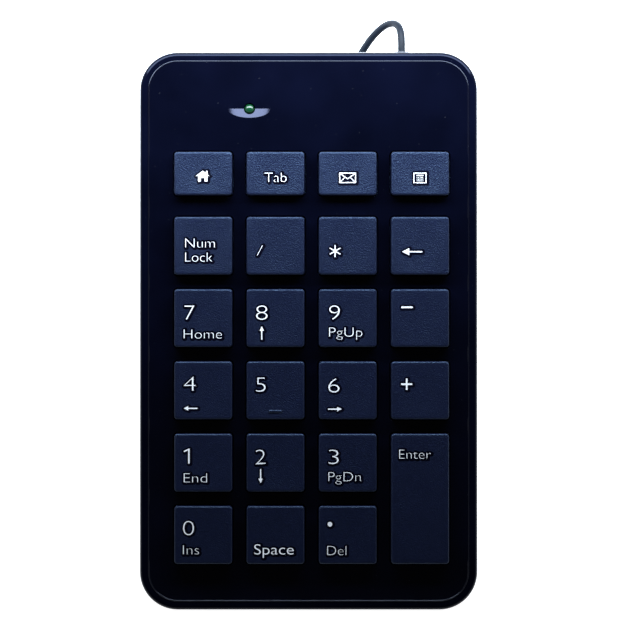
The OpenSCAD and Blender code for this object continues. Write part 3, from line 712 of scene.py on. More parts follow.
def jacket_finish(name, shade):
    """Satin jacket of a thin lead, read along its own length: long faint drawing lines and handling marks."""
    f = Finish(name)
    uv = f.node("ShaderNodeTexCoord", out="UV")
    drawn = f.noise(f.node("ShaderNodeMapping", {}, {"Vector": uv, "Scale": (14, 1.2, 1)}), 1.0, 3)
    marks = f.noise(f.node("ShaderNodeMapping", {}, {"Vector": uv, "Scale": (2, 60, 1)}), 1.0, 4, 0.6)
    base = f.mix(f.ramp(marks, [(0.35, 0), (0.7, 1)]), scaled(shade, 0.85), scaled(shade, 1.2))
    return f.shade(
        Base_Color=base,
        Roughness=f.ramp(marks * 0.6 + drawn * 0.4, [(0.3, 0.52), (0.7, 0.4)]),
        Specular_IOR_Level=0.12,
        Normal=f.bump(drawn * 0.5 + marks * 0.5, 0.35, 0.00004),
    )


def strap_finish(name, shade):
    """Ribbed strap: even cross ribs along its length in the piece's own coordinates, with painted shade in their
    grooves and a painted highlight on their crests.
    """
    f = Finish(name)
    uv = f.node("ShaderNodeTexCoord", out="UV")
    along = f.parts(uv)[1]
    ribs = (along * 300.0).sine() * 0.5 + 0.5
    weave = f.noise(f.position(), 3.5, 3)
    # Painted shade and highlight: darker in the rib grooves, lighter on the rib crests.
    base = f.mix(ribs, scaled(shade, 0.7), scaled(shade, 1.8))
    return f.shade(
        Base_Color=f.mix(weave * 0.4, base, scaled(shade, 1.2)),
        Roughness=0.55 + 0.2 * weave,
        Normal=f.bump(ribs + weave * 0.4, 0.5, 0.00012),
    )


def floor_finish(name, shade):
    """Pale matt studio floor with a very faint cloudiness."""
    f = Finish(name)
    cloud = f.noise(f.position((0.02, 0.02, 0.02)), 0.4, 3)
    base = f.mix(cloud, scaled(shade, 0.985), shade)
    return f.shade(
        Base_Color=base,
        Roughness=0.8 + 0.1 * cloud,
        Specular_IOR_Level=0.1,
        Emission_Color=base,
        Emission_Strength=studio().floor_glow,
    )


def make_finishes():
    """One finish for each material slot of the record, and a few for pieces that share a slot."""
    c = colours()
    key, gloss, matt, moulding = (tuple(v) for v in (c.key, c.gloss, c.matt, c.moulding))
    MADE.update(
        keycap=leather_plastic("keycap_grain", key),
        case_gloss=polished_plastic("case_polish", gloss, 0.09, (0.13, 0.15, 0.22)),
        face_gloss=polished_plastic("face_polish", scaled(gloss, 0.85)),
        plate_edge=polished_plastic("plate_edge_polish", gloss, 0.12, (0.72, 0.8, 1.0)),
        lamp_dish=polished_plastic("lamp_dish_satin", gloss, 0.2, (0.35, 0.38, 0.56)),
        case_matt=sparked_plastic("case_texture", matt),
        steel_plate=metal("rolled_steel", (0.50, 0.51, 0.53), 0.32),
        film=film_finish("printed_film", (0.62, 0.68, 0.62)),
        silicone=rubber("dome_silicone", (0.62, 0.63, 0.60), 0.5, 1.5),
        board_green=board_finish("board_mask", (0.02, 0.13, 0.045)),
        chip_black=sparked_plastic("chip_epoxy", (0.012, 0.012, 0.013), 4.0, 0.00003, 0.5),
        tinned=metal("tinned_metal", (0.66, 0.66, 0.68), 0.26, (3, 3, 3)),
        ceramic=satin_plastic("fired_ceramic", (0.42, 0.29, 0.13), 0.5),
        screw_steel=metal("black_zinc", (0.16, 0.16, 0.17), 0.34, (4, 4, 4)),
        lamp_green=lamp_finish("lamp_lens", tuple(c.lamp)),
        connector_white=satin_plastic("connector_nylon", (0.70, 0.68, 0.60)),
        wire_red=wires_finish("wire_insulation", (0.45, 0.02, 0.02)),
        spring_wire=metal("drawn_wire", (0.60, 0.60, 0.62), 0.2, (6, 0.15, 6)),
        pad_rubber=rubber("foot_rubber", (0.022, 0.022, 0.024)),
        label_silver=label_finish("blank_label", (0.52, 0.53, 0.55)),
        lead_jacket=jacket_finish("lead_jacket", tuple(c.jacket)),
        tie_black=strap_finish("tie_strap", (0.012, 0.012, 0.014)),
        plug_moulding=sparked_plastic("plug_moulding", moulding, 2.6, 0.00004, 0.5),
        shell_nickel=metal("bright_nickel", (0.70, 0.69, 0.66), 0.16, (0.2, 5, 5), 0.08),
        insert_white=satin_plastic("insert_nylon", (0.68, 0.69, 0.68)),
        legend=legend_finish("legend_ink", tuple(c.legend)),
        # Painted shadow under the legends: the key colour darkened, with almost no sheen.
        legend_ground=legend_finish("legend_ground_ink", scaled(key, 0.3), 0.04),
        contact_gold=metal("gold_contact", (0.75, 0.50, 0.18), 0.2),
        floor=floor_finish("studio_floor", tuple(c.floor)),
    )


# ---------------------------------------------------------------------------
# Operators


def aimed(name, data, axes, spot):
    """A camera or light at a spot, with these right, up and back directions."""
    thing = bpy.data.objects.new(name, data)
    bpy.context.scene.collection.objects.link(thing)
    turn = Matrix(axes).transposed().to_4x4()
    turn.translation = spot
    thing.matrix_world = turn
    return thing


class Step:
    """What every operator of the keypad does: it sees that the finishes are there, and makes its pieces."""

    def execute(self, context):
        if not MADE:
            make_finishes()
        self.make(context)
        return {"FINISHED"}


class KEYPAD_OT_camera(Step, Operator):
    """Sets the camera square to the face, a little above the middle of the case"""

    bl_idname = "keypad.camera"
    bl_label = "Camera"

    def make(self, context):
        s = studio()
        middle = middle_half(*flat_box("top_case"))[0]
        aim = np.array([middle[0] + s.aim_x, middle[1] + s.aim_v, flat_box("face_plate")[1][2]])
        lens = bpy.data.cameras.new("camera")
        lens.sensor_width = 36
        lens.lens = s.camera_far * lens.sensor_width / s.view_w
        lens.clip_start, lens.clip_end = 0.01, 50
        context.scene.camera = aimed("camera", lens, stand(np.eye(3)), stand(aim + [0, 0, s.camera_far]))


# Route of the lead. The drop is in millimetres from where the lead leaves the case, its height as a share of the
# way up from the floor; the rest is in the keypad's own axes.
LEAD_DROP = np.array([
    [0, -0.5, 1], [0, 2.2, 1.014], [-0.1, 4.8, 1], [-0.6, 7.1, 0.93], [-1.8, 8.4, 0.815],
    [-3.6, 8.5, 0.68], [-5.6, 7.5, 0.533], [-7.6, 5.7, 0.386], [-9.5, 3.3, 0.253], [-11.3, 0.5, 0.14],
    [-13.2, -2.6, 0.05],
])
LEAD_GROUND = np.array([[9, 67, 1], [6, 63.5, 1], [2.6, 59.8, 1], [-0.2, 55.8, 1]]) * MM
TAIL = np.array([
    [-2.6, 18.6, 3.2], [-1.2, 13.6, 2.4], [1.2, 9.6, 1.5], [4.4, 7, 1],
    [8, 6.6, 1.1], [11, 8.6, 1.7], [12.6, 11.6, 2.6], [13, 14.6, 3.2], [13, 17, 3.2],
]) * MM
HANK_MIDDLE = np.array([-14, 34]) * MM
LAYERS = (
    (1.0 * MM, (12, -11, 10, -9, 8, -7, 6)),
    (3.0 * MM, (-6, 7, -8, 9, -10, 11)),
)


def lead_exit():
    """Middle of the lead where it leaves the rear wall: the middle of the grommet's rear face."""
    low, high = flat_box("strain_relief")
    grommet = lay_flat(node_points("strain_relief"))
    rear = grommet[grommet[:, 1] > high[1] - 0.01 * MM].mean(0)
    return stand([rear[0], rear[1] - 0.4 * MM, rear[2]])


def hank_points():
    """Runs to and fro joined by half circles. A run at offset x lies at x drawn in towards the middle by
    pull * (1 + cos(pi s / half)) / 2, s being the way from the waist, and rises half a millimetre there."""
    size = sizes()
    half = size.hank_run / 2
    offsets = [(x * MM, z) for z, layer in LAYERS for x in layer]
    points = []
    for k, (x, z) in enumerate(offsets):
        ahead = -1 if x > 0 else 1
        s = ahead * np.linspace(-half, half, 12, endpoint=False)
        if k == 0:
            s = s[s < 0.8 * half]
        draw = (1 + np.cos(np.pi * s / half)) / 2
        run_x = x - np.sign(x) * size.waist_pull * draw
        points.append(np.stack([run_x, s, z + 0.5 * MM * draw], axis=-1))
        if k + 1 == len(offsets):
            break
        next_x, next_z = offsets[k + 1]
        centre, r = (x + next_x) / 2, abs(x - next_x) / 2
        turn = np.linspace(0, 1, 10, endpoint=False)
        angle = np.pi * turn
        ease = turn * turn * (3 - 2 * turn)
        points.append(np.stack([
            centre + np.sign(x) * r * np.cos(angle),
            ahead * (half + r * np.sin(angle)),
            z + (next_z - z) * ease,
        ], axis=-1))
    hank = np.concatenate(points)
    hank[:, :2] += HANK_MIDDLE
    return hank


class KEYPAD_OT_lead(Step, Operator):
    """Makes the lead as one smooth tube from the grommet, down behind the case, through the hank, to the plug"""

    bl_idname = "keypad.lead"
    bl_label = "Lead"

    def make(self, context):
        size = sizes()
        out = lead_exit()
        r = size.lead_d / 2
        drop = LEAD_DROP.copy()
        drop[:, :2] = out[:2] + drop[:, :2] * MM
        drop[:, 2] = r + drop[:, 2] * (out[2] - r)
        step = 0.7 * MM
        path = smooth_path(np.concatenate([drop, LEAD_GROUND, hank_points(), TAIL]), step)
        path[:, 2] = np.maximum(path[:, 2], r)
        rings = carried(path, circle(r, 14))
        lead = skin("lead", rings)
        wrap_uv(lead, *rings.shape[:2])
        placed(lead, "lead_jacket", replaces=("lead_cord", "lead_hank", "lead_tail"))
        MADE["lead_path"] = path


def wrap_uv(piece, rows, columns):
    """UV of a skin: u once round a ring, v once along the rings; the end faces keep a single point."""
    layer = piece.data.uv_layers.new(name="UVMap")
    corners = np.array([loop.vertex_index for loop in piece.data.loops])
    row, column = corners // columns, corners % columns
    starts = np.array([p.loop_start for p in piece.data.polygons])
    totals = np.array([p.loop_total for p in piece.data.polygons])
    low = np.minimum.reduceat(column, starts)
    high = np.maximum.reduceat(column, starts)
    wraps = np.repeat((totals == 4) & (high - low > 1), totals)
    u = np.where(wraps & (column == 0), columns, column) / columns
    layer.data.foreach_set("uv", np.stack([u, row / max(rows - 1, 1)], axis=-1).ravel())


class KEYPAD_OT_plug(Step, Operator):
    """Makes the plug's ribbed moulding, its gold contacts, the tie round the hank and the grommet"""

    bl_idname = "keypad.plug"
    bl_label = "Plug and tie"

    def make(self, context):
        made = [self.moulding(), self.contacts(), self.tie(), self.grommet()]
        path = MADE["lead_path"]
        start = path[0] + [0, 0.5 * MM, 0]

    def moulding(self):
        """Rounded rectangles carried along y: the half sizes swell from the relief to the grip, dip in a row of
        grooves, and close in over the last rounded edge."""
        low, high = (np.array(c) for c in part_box("plug_body"))
        relief_l, groove_pitch, edge = 8 * MM, 1.6 * MM, 1.5 * MM
        relief_end = low[1] + relief_l
        (x, _, z), (half_x, _, half_z) = middle_half(low, high)
        y_relief = np.linspace(low[1], relief_end, 41)
        groove = 0.22 * MM * (np.cos((y_relief - low[1]) * 2 * np.pi / groove_pitch) < -0.2)
        r_relief = np.linspace(1.7, 2.6, 41) * MM - groove
        y_body = np.linspace(relief_end, high[1], 97)
        t = (y_body - relief_end) / (high[1] - relief_end)
        near_end = np.minimum(y_body - relief_end, high[1] - y_body)
        inset = np.where(near_end < edge, edge - np.sqrt(np.maximum(0, 2 * near_end * edge - near_end**2)), 0)
        grip = (t > 0.2) & (t < 0.78)
        dips = np.where(grip, 0.3 * MM * np.clip(1.6 * np.sin((t - 0.2) / 0.58 * 14 * np.pi), 0, 1), 0)
        shoulder = 0.5 * MM * np.clip((0.3 - t) / 0.3, 0, 1)
        body = round_rectangle(half_x - inset - shoulder - 0.4 * dips, half_z - inset - dips, 1.9 * MM, 7, 5)
        neck = round_rectangle(r_relief, r_relief, r_relief, 7, 5)
        outline = np.concatenate([neck, body])
        y = np.concatenate([y_relief, y_body])
        rings = np.stack(
            [x + outline[..., 0], np.broadcast_to(y[:, None], outline.shape[:2]), z + outline[..., 1]], axis=-1
        )
        return placed(skin("plug_moulding", rings, sharp=40), "plug_moulding",
                      replaces=("plug_body",))

    def contacts(self):
        """Four flat bars on the insert: rounded rectangles drawn through a small height."""
        low, high = (np.array(c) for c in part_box("plug_insert"))
        half_w, corner, behind, sunk, proud = (value * MM for value in (0.5, 0.2, 5.4, 0.02, 0.08))
        bars = []
        for offset, half_l in ((-3.5, 4.2), (-1, 3.7), (1, 3.7), (3.5, 4.2)):
            outline = round_rectangle([half_w] * 2, [half_l * MM] * 2, [corner] * 2, 3, 2)
            ring = levels(outline, [high[2] - sunk, high[2] + proud])
            bars.append(solid_rings(ring + [(low[0] + high[0]) / 2 + offset * MM, high[1] - behind, 0]))
        return placed(merged("plug_contacts", bars), "contact_gold")

    def tie(self):
        """A flat strap carried round a rounded rectangle."""
        middle, half = middle_half(*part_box("hank_tie"))
        thick, corner = 0.5 * MM, 2.2 * MM
        loop = round_rectangle([half[0] - thick / 2], [half[2] - thick / 2], [corner], 10, 12)[0]
        path = np.stack([loop[:, 0], np.zeros(len(loop)), loop[:, 1]], axis=-1) + middle
        section = round_rectangle([thick / 2], [half[1]], [0.2 * MM], 3, 4)[0]
        rings = carried_round(path, section, [0, 1, 0])
        strap = skin("hank_strap", rings, ring_closes=True)
        wrap_uv(strap, *rings.shape[:2])
        return placed(strap, "tie_black", replaces=("hank_tie",))

    def grommet(self):
        """Collars and a tapered nose turned about the lead's line where it leaves the rear wall."""
        node = lay_flat(node_points("strain_relief"))
        rear = node[:, 1].max()
        middle = (node.min(0) + node.max(0)) / 2
        middle[2] = node[node[:, 1] > rear - 0.01 * MM].mean(0)[2]
        profile = np.array([
            [0.9, -4.6], [2.2, -4.6], [2.2, -1.9], [2.2, -0.5], [2.2, -0.12], [2.08, 0], [1.8, 0.02],
            [1.75, 0.0], [1.7, -0.05], [1.5, -0.05], [1.42, 0.1], [1.3, 0.12], [1.18, 0.1], [1.1, -0.3], [0.98, -0.8],
        ]) * MM
        angle = np.linspace(0, 2 * np.pi, 40, endpoint=False)
        rings = np.stack([
            middle[0] + profile[:, :1] * np.cos(angle),
            np.broadcast_to(rear + profile[:, 1:], (len(profile), len(angle))),
            middle[2] + profile[:, :1] * np.sin(angle),
        ], axis=-1)
        ring = skin("lead_grommet", stand(rings), ring_closes=True, sharp=50)
        return placed(ring, "plug_moulding", replaces=("strain_relief",))


def key_outline(node):
    """Middle, half sizes and heights of a key, read from its CAD node."""
    low, high = flat_box(node)
    top = flat_box("key_4")[1][2]
    half = (high - low)[:2] / 2 - sizes().flange_out
    return (low + high)[:2] / 2, half, low[2], top


def key_surface(local, half, top):
    """Height of a key top: the top less dish * (1 - (x / half)^2) * (1 - (v / half)^2)."""
    fall = np.clip(1 - (local[..., 0] / half[0]) ** 2, 0, 1) * np.clip(1 - (local[..., 1] / half[1]) ** 2, 0, 1)
    return top - sizes().key_dish * fall


class KEYPAD_OT_keys(Step, Operator):
    """Makes the key caps: a hollow top, a soft edge, a slight draft, a flange at the foot and a post inside"""

    bl_idname = "keypad.keys"
    bl_label = "Key caps"

    def make(self, context):
        for node in KEYS:
            self.cap(node)
        self.homing_bar()

    def cap(self, node):
        """Rounded rectangles in a row of rings: out from the middle of the top, over a quarter-circle edge, down
        the drafted side, round the flange, up the inner wall, in under the roof and down the post."""
        size = sizes()
        middle, half, foot, top = key_outline(node)
        edge, corner, wall = size.key_edge, size.key_corner, size.key_wall
        roof = top - size.key_roof
        post_foot = flat_box("dome_sheet")[1][2] + 0.02 * MM
        flange = foot + size.flange_thick
        share = np.array([0.02, 0.25, 0.5, 0.7, 0.85, 0.95, 1.0])
        top_half = half - size.key_draft - edge
        least_r, edge_r, clear = 0.3 * MM, 0.4 * MM, 0.05 * MM
        rows = [(*(top_half * s), max(corner - edge, least_r) * s, top) for s in share]
        for a in np.radians([18, 36, 54, 72, 90]):
            grow = edge * math.sin(a)
            rows.append((*(top_half + grow), edge_r + grow, top - edge * (1 - math.cos(a))))
        rows += [
            (*half, corner, flange + clear),
            (*(half + size.flange_out), corner, flange),
            (*(half + size.flange_out), corner, foot),
            (*(half - wall), corner / 2, foot),
            (*(half - wall), corner / 2, roof),
            (size.post_r, size.post_r, size.post_r, roof),
            (size.post_r, size.post_r, size.post_r, post_foot),
        ]
        hx, hy, r, w = np.array(rows).T
        outline = round_rectangle(hx, hy, r, 6, 8)
        rings = levels(outline, w)
        on_top = len(share)
        rings[:on_top, :, 2] = key_surface(outline[:on_top], top_half, top)
        rings[..., :2] += middle
        cap = skin(node + "_cap", stand(rings), sharp=50)
        placed(cap, "keycap", node, (node,))

    def homing_bar(self):
        """A round bar lying on the middle key, its radius falling to nothing at both ends as a quarter ellipse."""
        size = sizes()
        middle, half, _, top = key_outline("key_5")
        r, half_l, forward, sunk = 0.42 * MM, size.bar_l / 2, 2.2 * MM, 0.1 * MM
        rows, round_it, flatter = 25, 16, 0.75
        t = np.sin(np.linspace(-np.pi / 2, np.pi / 2, rows)) * 0.999
        x = t * half_l
        swell = r * np.sqrt(np.clip(1 - np.clip((np.abs(x) - half_l + r) / r, 0, 1) ** 2, 0.0004, 1))
        spine = np.stack([x + middle[0], np.full_like(x, middle[1] - half[1] + forward), np.full_like(x, top)], -1)
        across, up = (swell[:, None] * part for part in circle(1, round_it).T)
        points = spine[:, None] + np.stack([np.zeros((rows, round_it)), across, up * flatter], -1)
        points[..., 2] -= sunk
        placed(skin("key_5_bar", stand(points)), "keycap", "key_5")


# Legends of each key, as (words, left, baseline, height of a capital, width) in millimetres from the key's middle.
DIGIT, WORD = 3.9, 2.5
WORDS = {
    "key_num_lock": (("Num", -4.7, -0.5, WORD, 7.75), ("Lock", -4.7, -4.2, WORD, 7.05)),
    "key_divide": (("/", -4.9, -2.6, 2.75, 1.6),),
    "key_7": (("7", -4.9, -0.5, DIGIT, 2.6), ("Home", -5.1, -5.4, WORD, 10.0)),
    "key_8": (("8", -5.1, -0.5, DIGIT, 3.0),),
    "key_9": (("9", -4.9, -0.5, DIGIT, 2.8), ("PgUp", -4.9, -4.9, WORD, 8.7)),
    "key_4": (("4", -5.1, -0.2, DIGIT, 3.1),),
    "key_5": (("5", -5.2, -0.4, DIGIT, 2.6),),
    "key_6": (("6", -5.1, -0.6, DIGIT, 2.9),),
    "key_1": (("End", -5.1, -5.2, WORD, 6.1),),
    "key_2": (("2", -5.2, -0.4, DIGIT, 2.6),),
    "key_3": (("3", -5.1, -0.4, DIGIT, 2.7), ("PgDn", -5.1, -4.9, WORD, 8.5)),
    "key_0": (("0", -5.3, -0.1, DIGIT, 2.9), ("Ins", -5.3, -5.1, WORD, 4.2)),
    "key_decimal": (("Del", -5.4, -5.3, WORD, 5.0),),
    "key_enter": (("Enter", -5.5, 10.5, WORD, 8.3),),
    "key_tab": (("Tab", -2.85, -2.25, WORD, 5.75),),
}
BOLD_WORDS = {
    "key_space": (("Space", -5.6, -5.1, WORD + 0.2, 10.4),),
}
STROKE = 0.36


def bar(x0, y0, x1, y1, thick=STROKE):
    """Corners of a straight stroke between two points."""
    a, b = np.array([x0, y0], float), np.array([x1, y1], float)
    along = (b - a) / np.linalg.norm(b - a)
    side = np.array([-along[1], along[0]]) * thick / 2
    return np.array([a + side, a - side, b - side, b + side])


def arrow(x, y, direction, reach, head=0.95, thick=STROKE):
    """A stroke from its tail with a solid head: `direction` is a unit step and the arrow ends at its tip."""
    d = np.array(direction, float)
    side = np.array([-d[1], d[0]])
    tip = np.array([x, y], float) + d * reach / 2
    tail, neck = tip - d * reach, tip - d * head * 1.25
    return [
        bar(*tail, *(neck + d * 0.05), thick),
        np.array([tip, neck + side * head * 0.62, neck - side * head * 0.62]),
    ]


def frame_bars(x0, y0, x1, y1, thick):
    """Four strokes round a rectangle."""
    h = thick / 2
    return [
        bar(x0, y0 + h, x1, y0 + h, thick), bar(x0, y1 - h, x1, y1 - h, thick),
        bar(x0 + h, y0 + thick, x0 + h, y1 - thick, thick), bar(x1 - h, y0 + thick, x1 - h, y1 - thick, thick),
    ]


def disc(x, y, r):
    return circle(r, 24) + [x, y]


def star(x, y, r, arms=6):
    """Strokes from the middle of a star at even angles, the first one straight up."""
    angles = np.pi / 2 + np.arange(arms) * 2 * np.pi / arms
    return [bar(x, y, x + r * math.cos(a), y + r * math.sin(a), 0.28) for a in angles]


def calculator():
    """A frame with a display and three rows of five keys."""
    shapes = frame_bars(-1.75, -2.55, 1.65, 0.2, 0.2) + [bar(-0.95, -0.52, 0.85, -0.52, 0.3)]
    for row in range(3):
        shapes += [disc(-0.8 + 0.375 * column, -1.1 - 0.42 * row, 0.1) for column in range(5)]
    return shapes


ICONS = {
    "key_home": [
        np.array([[-1.9, -0.65], [-0.1, 0.75], [1.65, -0.65]]), bar(-0.95, -0.6, -0.95, -2.1, 0.75),
        bar(0.75, -0.6, 0.75, -2.1, 0.75), bar(-0.7, -0.85, 0.6, -0.85, 0.6), bar(0.95, -0.2, 0.95, 0.7, 0.4),
    ],
    "key_mail": frame_bars(-2.25, -2.5, 2.15, 0.2, 0.23) + [
        bar(-2.1, 0.05, -0.05, -1.4, 0.19), bar(2.0, 0.05, -0.05, -1.4, 0.19),
        bar(-2.1, -2.35, -0.75, -1.0, 0.18), bar(2.0, -2.35, 0.65, -1.0, 0.18),
    ],
    "key_calculator": calculator(),
    "key_multiply": star(-3.35, -1.4, 1.6),
    "key_backspace": arrow(-2.1, -1.55, (-1, 0), 5.3, 1.5, 0.34),
    "key_minus": [bar(-4.95, 2.85, -1.95, 2.85, 0.46)],
    "key_plus": [bar(-5.0, 1.65, -2.05, 1.65, 0.44), bar(-3.53, 0.15, -3.53, 3.15, 0.44)],
    "key_8": arrow(-3.6, -3.9, (0, 1), 3.5, thick=0.3),
    "key_1": [bar(-3.75, -0.2, -3.75, 3.7, 0.4), bar(-5.05, 2.95, -3.62, 3.62, 0.34)],
    "key_4": arrow(-3.3, -4.7, (-1, 0), 3.6, thick=0.3),
    "key_6": arrow(-3.4, -4.9, (1, 0), 3.6, thick=0.3),
    "key_2": arrow(-3.9, -3.5, (0, -1), 3.7, thick=0.3),
    "key_decimal": [disc(-4.7, 2.85, 0.62)],
}


def type_shapes(words, thin, fine):
    """Points and faces of words in the built-in face, made a mesh: `thin` moves its outlines in or out, and `fine`
    is the number of steps in each of its curves."""
    text = bpy.data.curves.new("legend", "FONT")
    text.body, text.extrude, text.offset, text.resolution_u = words, 0.5, thin, fine
    holder = bpy.data.objects.new("legend", text)
    bpy.context.scene.collection.objects.link(holder)
    bpy.context.view_layer.update()
    mesh = bpy.data.meshes.new_from_object(holder.evaluated_get(bpy.context.evaluated_depsgraph_get()))
    points, faces = points_of(mesh), [list(p.vertices) for p in mesh.polygons]
    bpy.data.objects.remove(holder)
    bpy.data.curves.remove(text)
    bpy.data.meshes.remove(mesh)
    return points, faces


# Height of a capital in the built-in face, and how far its outlines move in or out for a lighter or heavier word.
CAPITAL = 0.682
LIGHT, HEAVY = -0.023, -0.009


def slab(outline):
    """A convex outline drawn up from -0.5 to 0.5."""
    return solid_rings(levels(np.stack([outline, outline]), [-0.5, 0.5]))


def spread(outlines, r, n=12):
    """Convex outlines (count, corners, 2) grown by r: in each of n directions d, the corner furthest along d plus
    r times d."""
    d = circle(1, n)
    furthest = np.argmax(outlines @ d.T, axis=1)
    return np.take_along_axis(outlines, furthest[..., None], axis=1) + r * d


def slabs(outlines):
    """Convex outlines (count, n, 2), turning left, drawn up from -0.5 to 0.5."""
    count, n = outlines.shape[:2]
    points = np.stack([levels(outlines, np.full(count, h)) for h in (-0.5, 0.5)], axis=1)
    one = grid_faces(2, n, False, True).tolist() + end_faces(2, n)
    return points, [[2 * n * k + i for i in face] for k in range(count) for face in one]


class KEYPAD_OT_legends(Step, Operator):
    """Prints the keys' digits, words and signs as thin ink over a painted shadow that follows each hollow top"""

    bl_idname = "keypad.legends"
    bl_label = "Legends"

    def make(self, context):
        size = sizes()
        shift = np.array([size.shadow_right, -size.shadow_front]) / MM
        for node in KEYS:
            words = [(*w, LIGHT) for w in WORDS.get(node, ())] + [(*w, HEAVY) for w in BOLD_WORDS.get(node, ())]
            shapes = ICONS.get(node, ())
            if not words and not len(shapes):
                raise RuntimeError(f"{node} has no legend")
            ink = [self.typed(*word, 6) for word in words] + [slab(shape) for shape in shapes]
            # Painted shadow: each legend's outline grown and shifted to the right and front, printed in dark ink just
            # under the white ink.
            shadow = [slabs(spread(self.corners(*self.typed(*word, 2)), size.shadow_r / MM) + shift) for word in words]
            shadow += [slabs(spread(shape[None], size.shadow_r / MM) + shift) for shape in shapes]
            self.print_on(node, "_legend", ink, size.ink, "legend")
            self.print_on(node, "_ground", shadow, size.ink / 2, "legend_ground")

    def typed(self, words, left, base, height, width, thin, fine):
        points, faces = type_shapes(words, thin, fine)
        low, high = points.min(0), points.max(0)
        points[:, 0] = left + (points[:, 0] - low[0]) * width / (high[0] - low[0])
        points[:, 1] = base + points[:, 1] * height / CAPITAL
        return points, faces

    def corners(self, points, faces):
        """Corners (count, 3, 2) of the triangles that fill the upper side of typed words."""
        filled = np.array([face for face in faces if len(face) == 3])
        upper = (points[filled, 2] > 0).all(axis=1)
        return points[filled[upper], :2]

    def print_on(self, node, kind, parts, rise, finish):
        """Ink's height: the key top's own height plus `rise`, or a little under the top at its lower side."""
        size = sizes()
        middle, half, _, top = key_outline(node)
        ink = merged(node + kind, parts, 60)
        co = points_of(ink.data)
        upper = co[:, 2] > 0
        co[:, :2] *= MM
        top_half = half - size.key_draft - size.key_edge
        co[:, 2] = key_surface(co, top_half, top) + np.where(upper, rise, -0.05 * MM)
        co[:, :2] += middle
        ink.data.vertices.foreach_set("co", stand(co).ravel())
        ink.data.update()
        placed(ink, finish, node)


class KEYPAD_OT_case(Step, Operator):
    """Gives the CAD parts of the case, its feet and all that is inside their finishes"""

    bl_idname = "keypad.case"
    bl_label = "Case and insides"

    def make(self, context):
        for node, slot in SLOT_OF.items():
            mesh = frame["nodes"][node].data
            mesh.materials.clear()
            mesh.materials.append(MADE[slot])


class KEYPAD_OT_lamp(Step, Operator):
    """Lines the dish round the lamp with a smooth skin"""

    bl_idname = "keypad.lamp"
    bl_label = "Lamp dish"

    def make(self, context):
        """Dish: an ellipse on the face folded along its long axis. At x its half width is w (1 - (x / l)^2)^(1/2)
        and its fold is (a^2 + w^2 (1 - (x / l)^2))^(1/2) - a down, where a makes that `deep` in the middle; from
        the fold it rises evenly to both edges."""
        size = sizes()
        middle = middle_half(*flat_box("led"))[0]
        face = flat_box("face_plate")[1][2]
        half_l, half_w = size.dish_l / 2, size.dish_w / 2
        angle = np.linspace(0, 2 * np.pi, 128, endpoint=False)
        share = np.linspace(1.0, 0.0, 26)[:-1]
        x = half_l * share[:, None] * np.cos(angle)
        v = half_w * share[:, None] * np.sin(angle)
        far = np.hypot(x, v)
        lamp_r, cover, thick = 1.5 * MM, 0.012 * MM, 0.06 * MM
        push = np.where(far < lamp_r, lamp_r / np.maximum(far, 1e-9), 1)
        x, v = x * push, v * push
        along = np.clip(1 - (x / half_l) ** 2, 0, 1)
        edge = half_w * np.sqrt(along)
        rise = np.clip(1 - np.abs(v) / np.maximum(edge, 1e-9), 0, 1)
        axis_up = (half_w**2 - size.dish_deep**2) / (2 * size.dish_deep)
        fold = np.sqrt(axis_up**2 + half_w**2 * along) - axis_up
        surface = face + cover - fold * rise
        top_skin = np.stack([middle[0] + x, middle[1] + v, surface], -1)
        low_skin = np.stack([middle[0] + x, middle[1] + v, surface - thick], -1)[::-1]
        dish = skin("lamp_dish", stand(np.concatenate([top_skin, low_skin])), ring_closes=True, sharp=12)
        placed(dish, "lamp_dish")


class KEYPAD_OT_domes(Step, Operator):
    """Moulds the silicone sheet, and on it a dome under each key"""

    bl_idname = "keypad.domes"
    bl_label = "Dome sheet"

    def make(self, context):
        size = sizes()
        low, high = flat_box("dome_sheet")
        middle, half = middle_half(low, high)
        web_top = low[2] + size.sheet_thick
        outline = round_rectangle([half[0] - size.sheet_in] * 2, [half[1]] * 2, [2 * MM] * 2, 6, 8) + middle[:2]
        web = skin("dome_web", stand(levels(outline, [low[2], web_top])))
        placed(web, "silicone", replaces=("dome_sheet",))
        for node in KEYS:
            self.dome(node, web_top, high[2])

    def dome(self, node, foot, top):
        """A shell turned about the key's middle: radii and heights from under its roof, down the inside, and up the
        outside."""
        size = sizes()
        wall, r, top_r, inner_r = size.dome_wall, size.dome_r, size.dome_top_r, 0.3 * MM
        profile = np.array([
            [inner_r, top - wall], [top_r - wall, top - wall], [r - wall, foot], [r, foot],
            [(r + top_r) / 2, (foot + top) / 2], [top_r, top - wall / 4], [top_r - wall / 4, top], [inner_r, top],
        ])
        x, v = key_outline(node)[0]
        ring = circle(1, 32)
        outline = profile[:, None, :1] * ring + np.array([x, v])
        dome = skin(node + "_dome", stand(levels(outline, profile[:, 1])), sharp=50)
        placed(dome, "silicone")
        tall = top - foot
        node + "_press"
        (tall - size.key_travel) / tall
        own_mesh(dome)


class KEYPAD_OT_edges(Step, Operator):
    """Rounds the face plate's rim with a fine bead that lies in its joint with the case"""

    bl_idname = "keypad.edges"
    bl_label = "Plate edge"

    def make(self, context):
        """Bead: a circle carried round the plate's rounded outline, its middle a little under the face."""
        size = sizes()
        low, high = flat_box("face_plate")
        middle, half = middle_half(low, high)
        r = size.bead_r
        outline = round_rectangle([half[0] - r], [half[1] - r], [size.plate_corner - r], 16, 40)[0]
        path = np.concatenate([outline, np.full((len(outline), 1), high[2] - 0.45 * r)], axis=1)
        path[:, :2] += middle[:2]
        rings = carried_round(path, circle(r, 12), [0, 0, 1])
        placed(skin("plate_bead", stand(rings), ring_closes=True), "plate_edge")


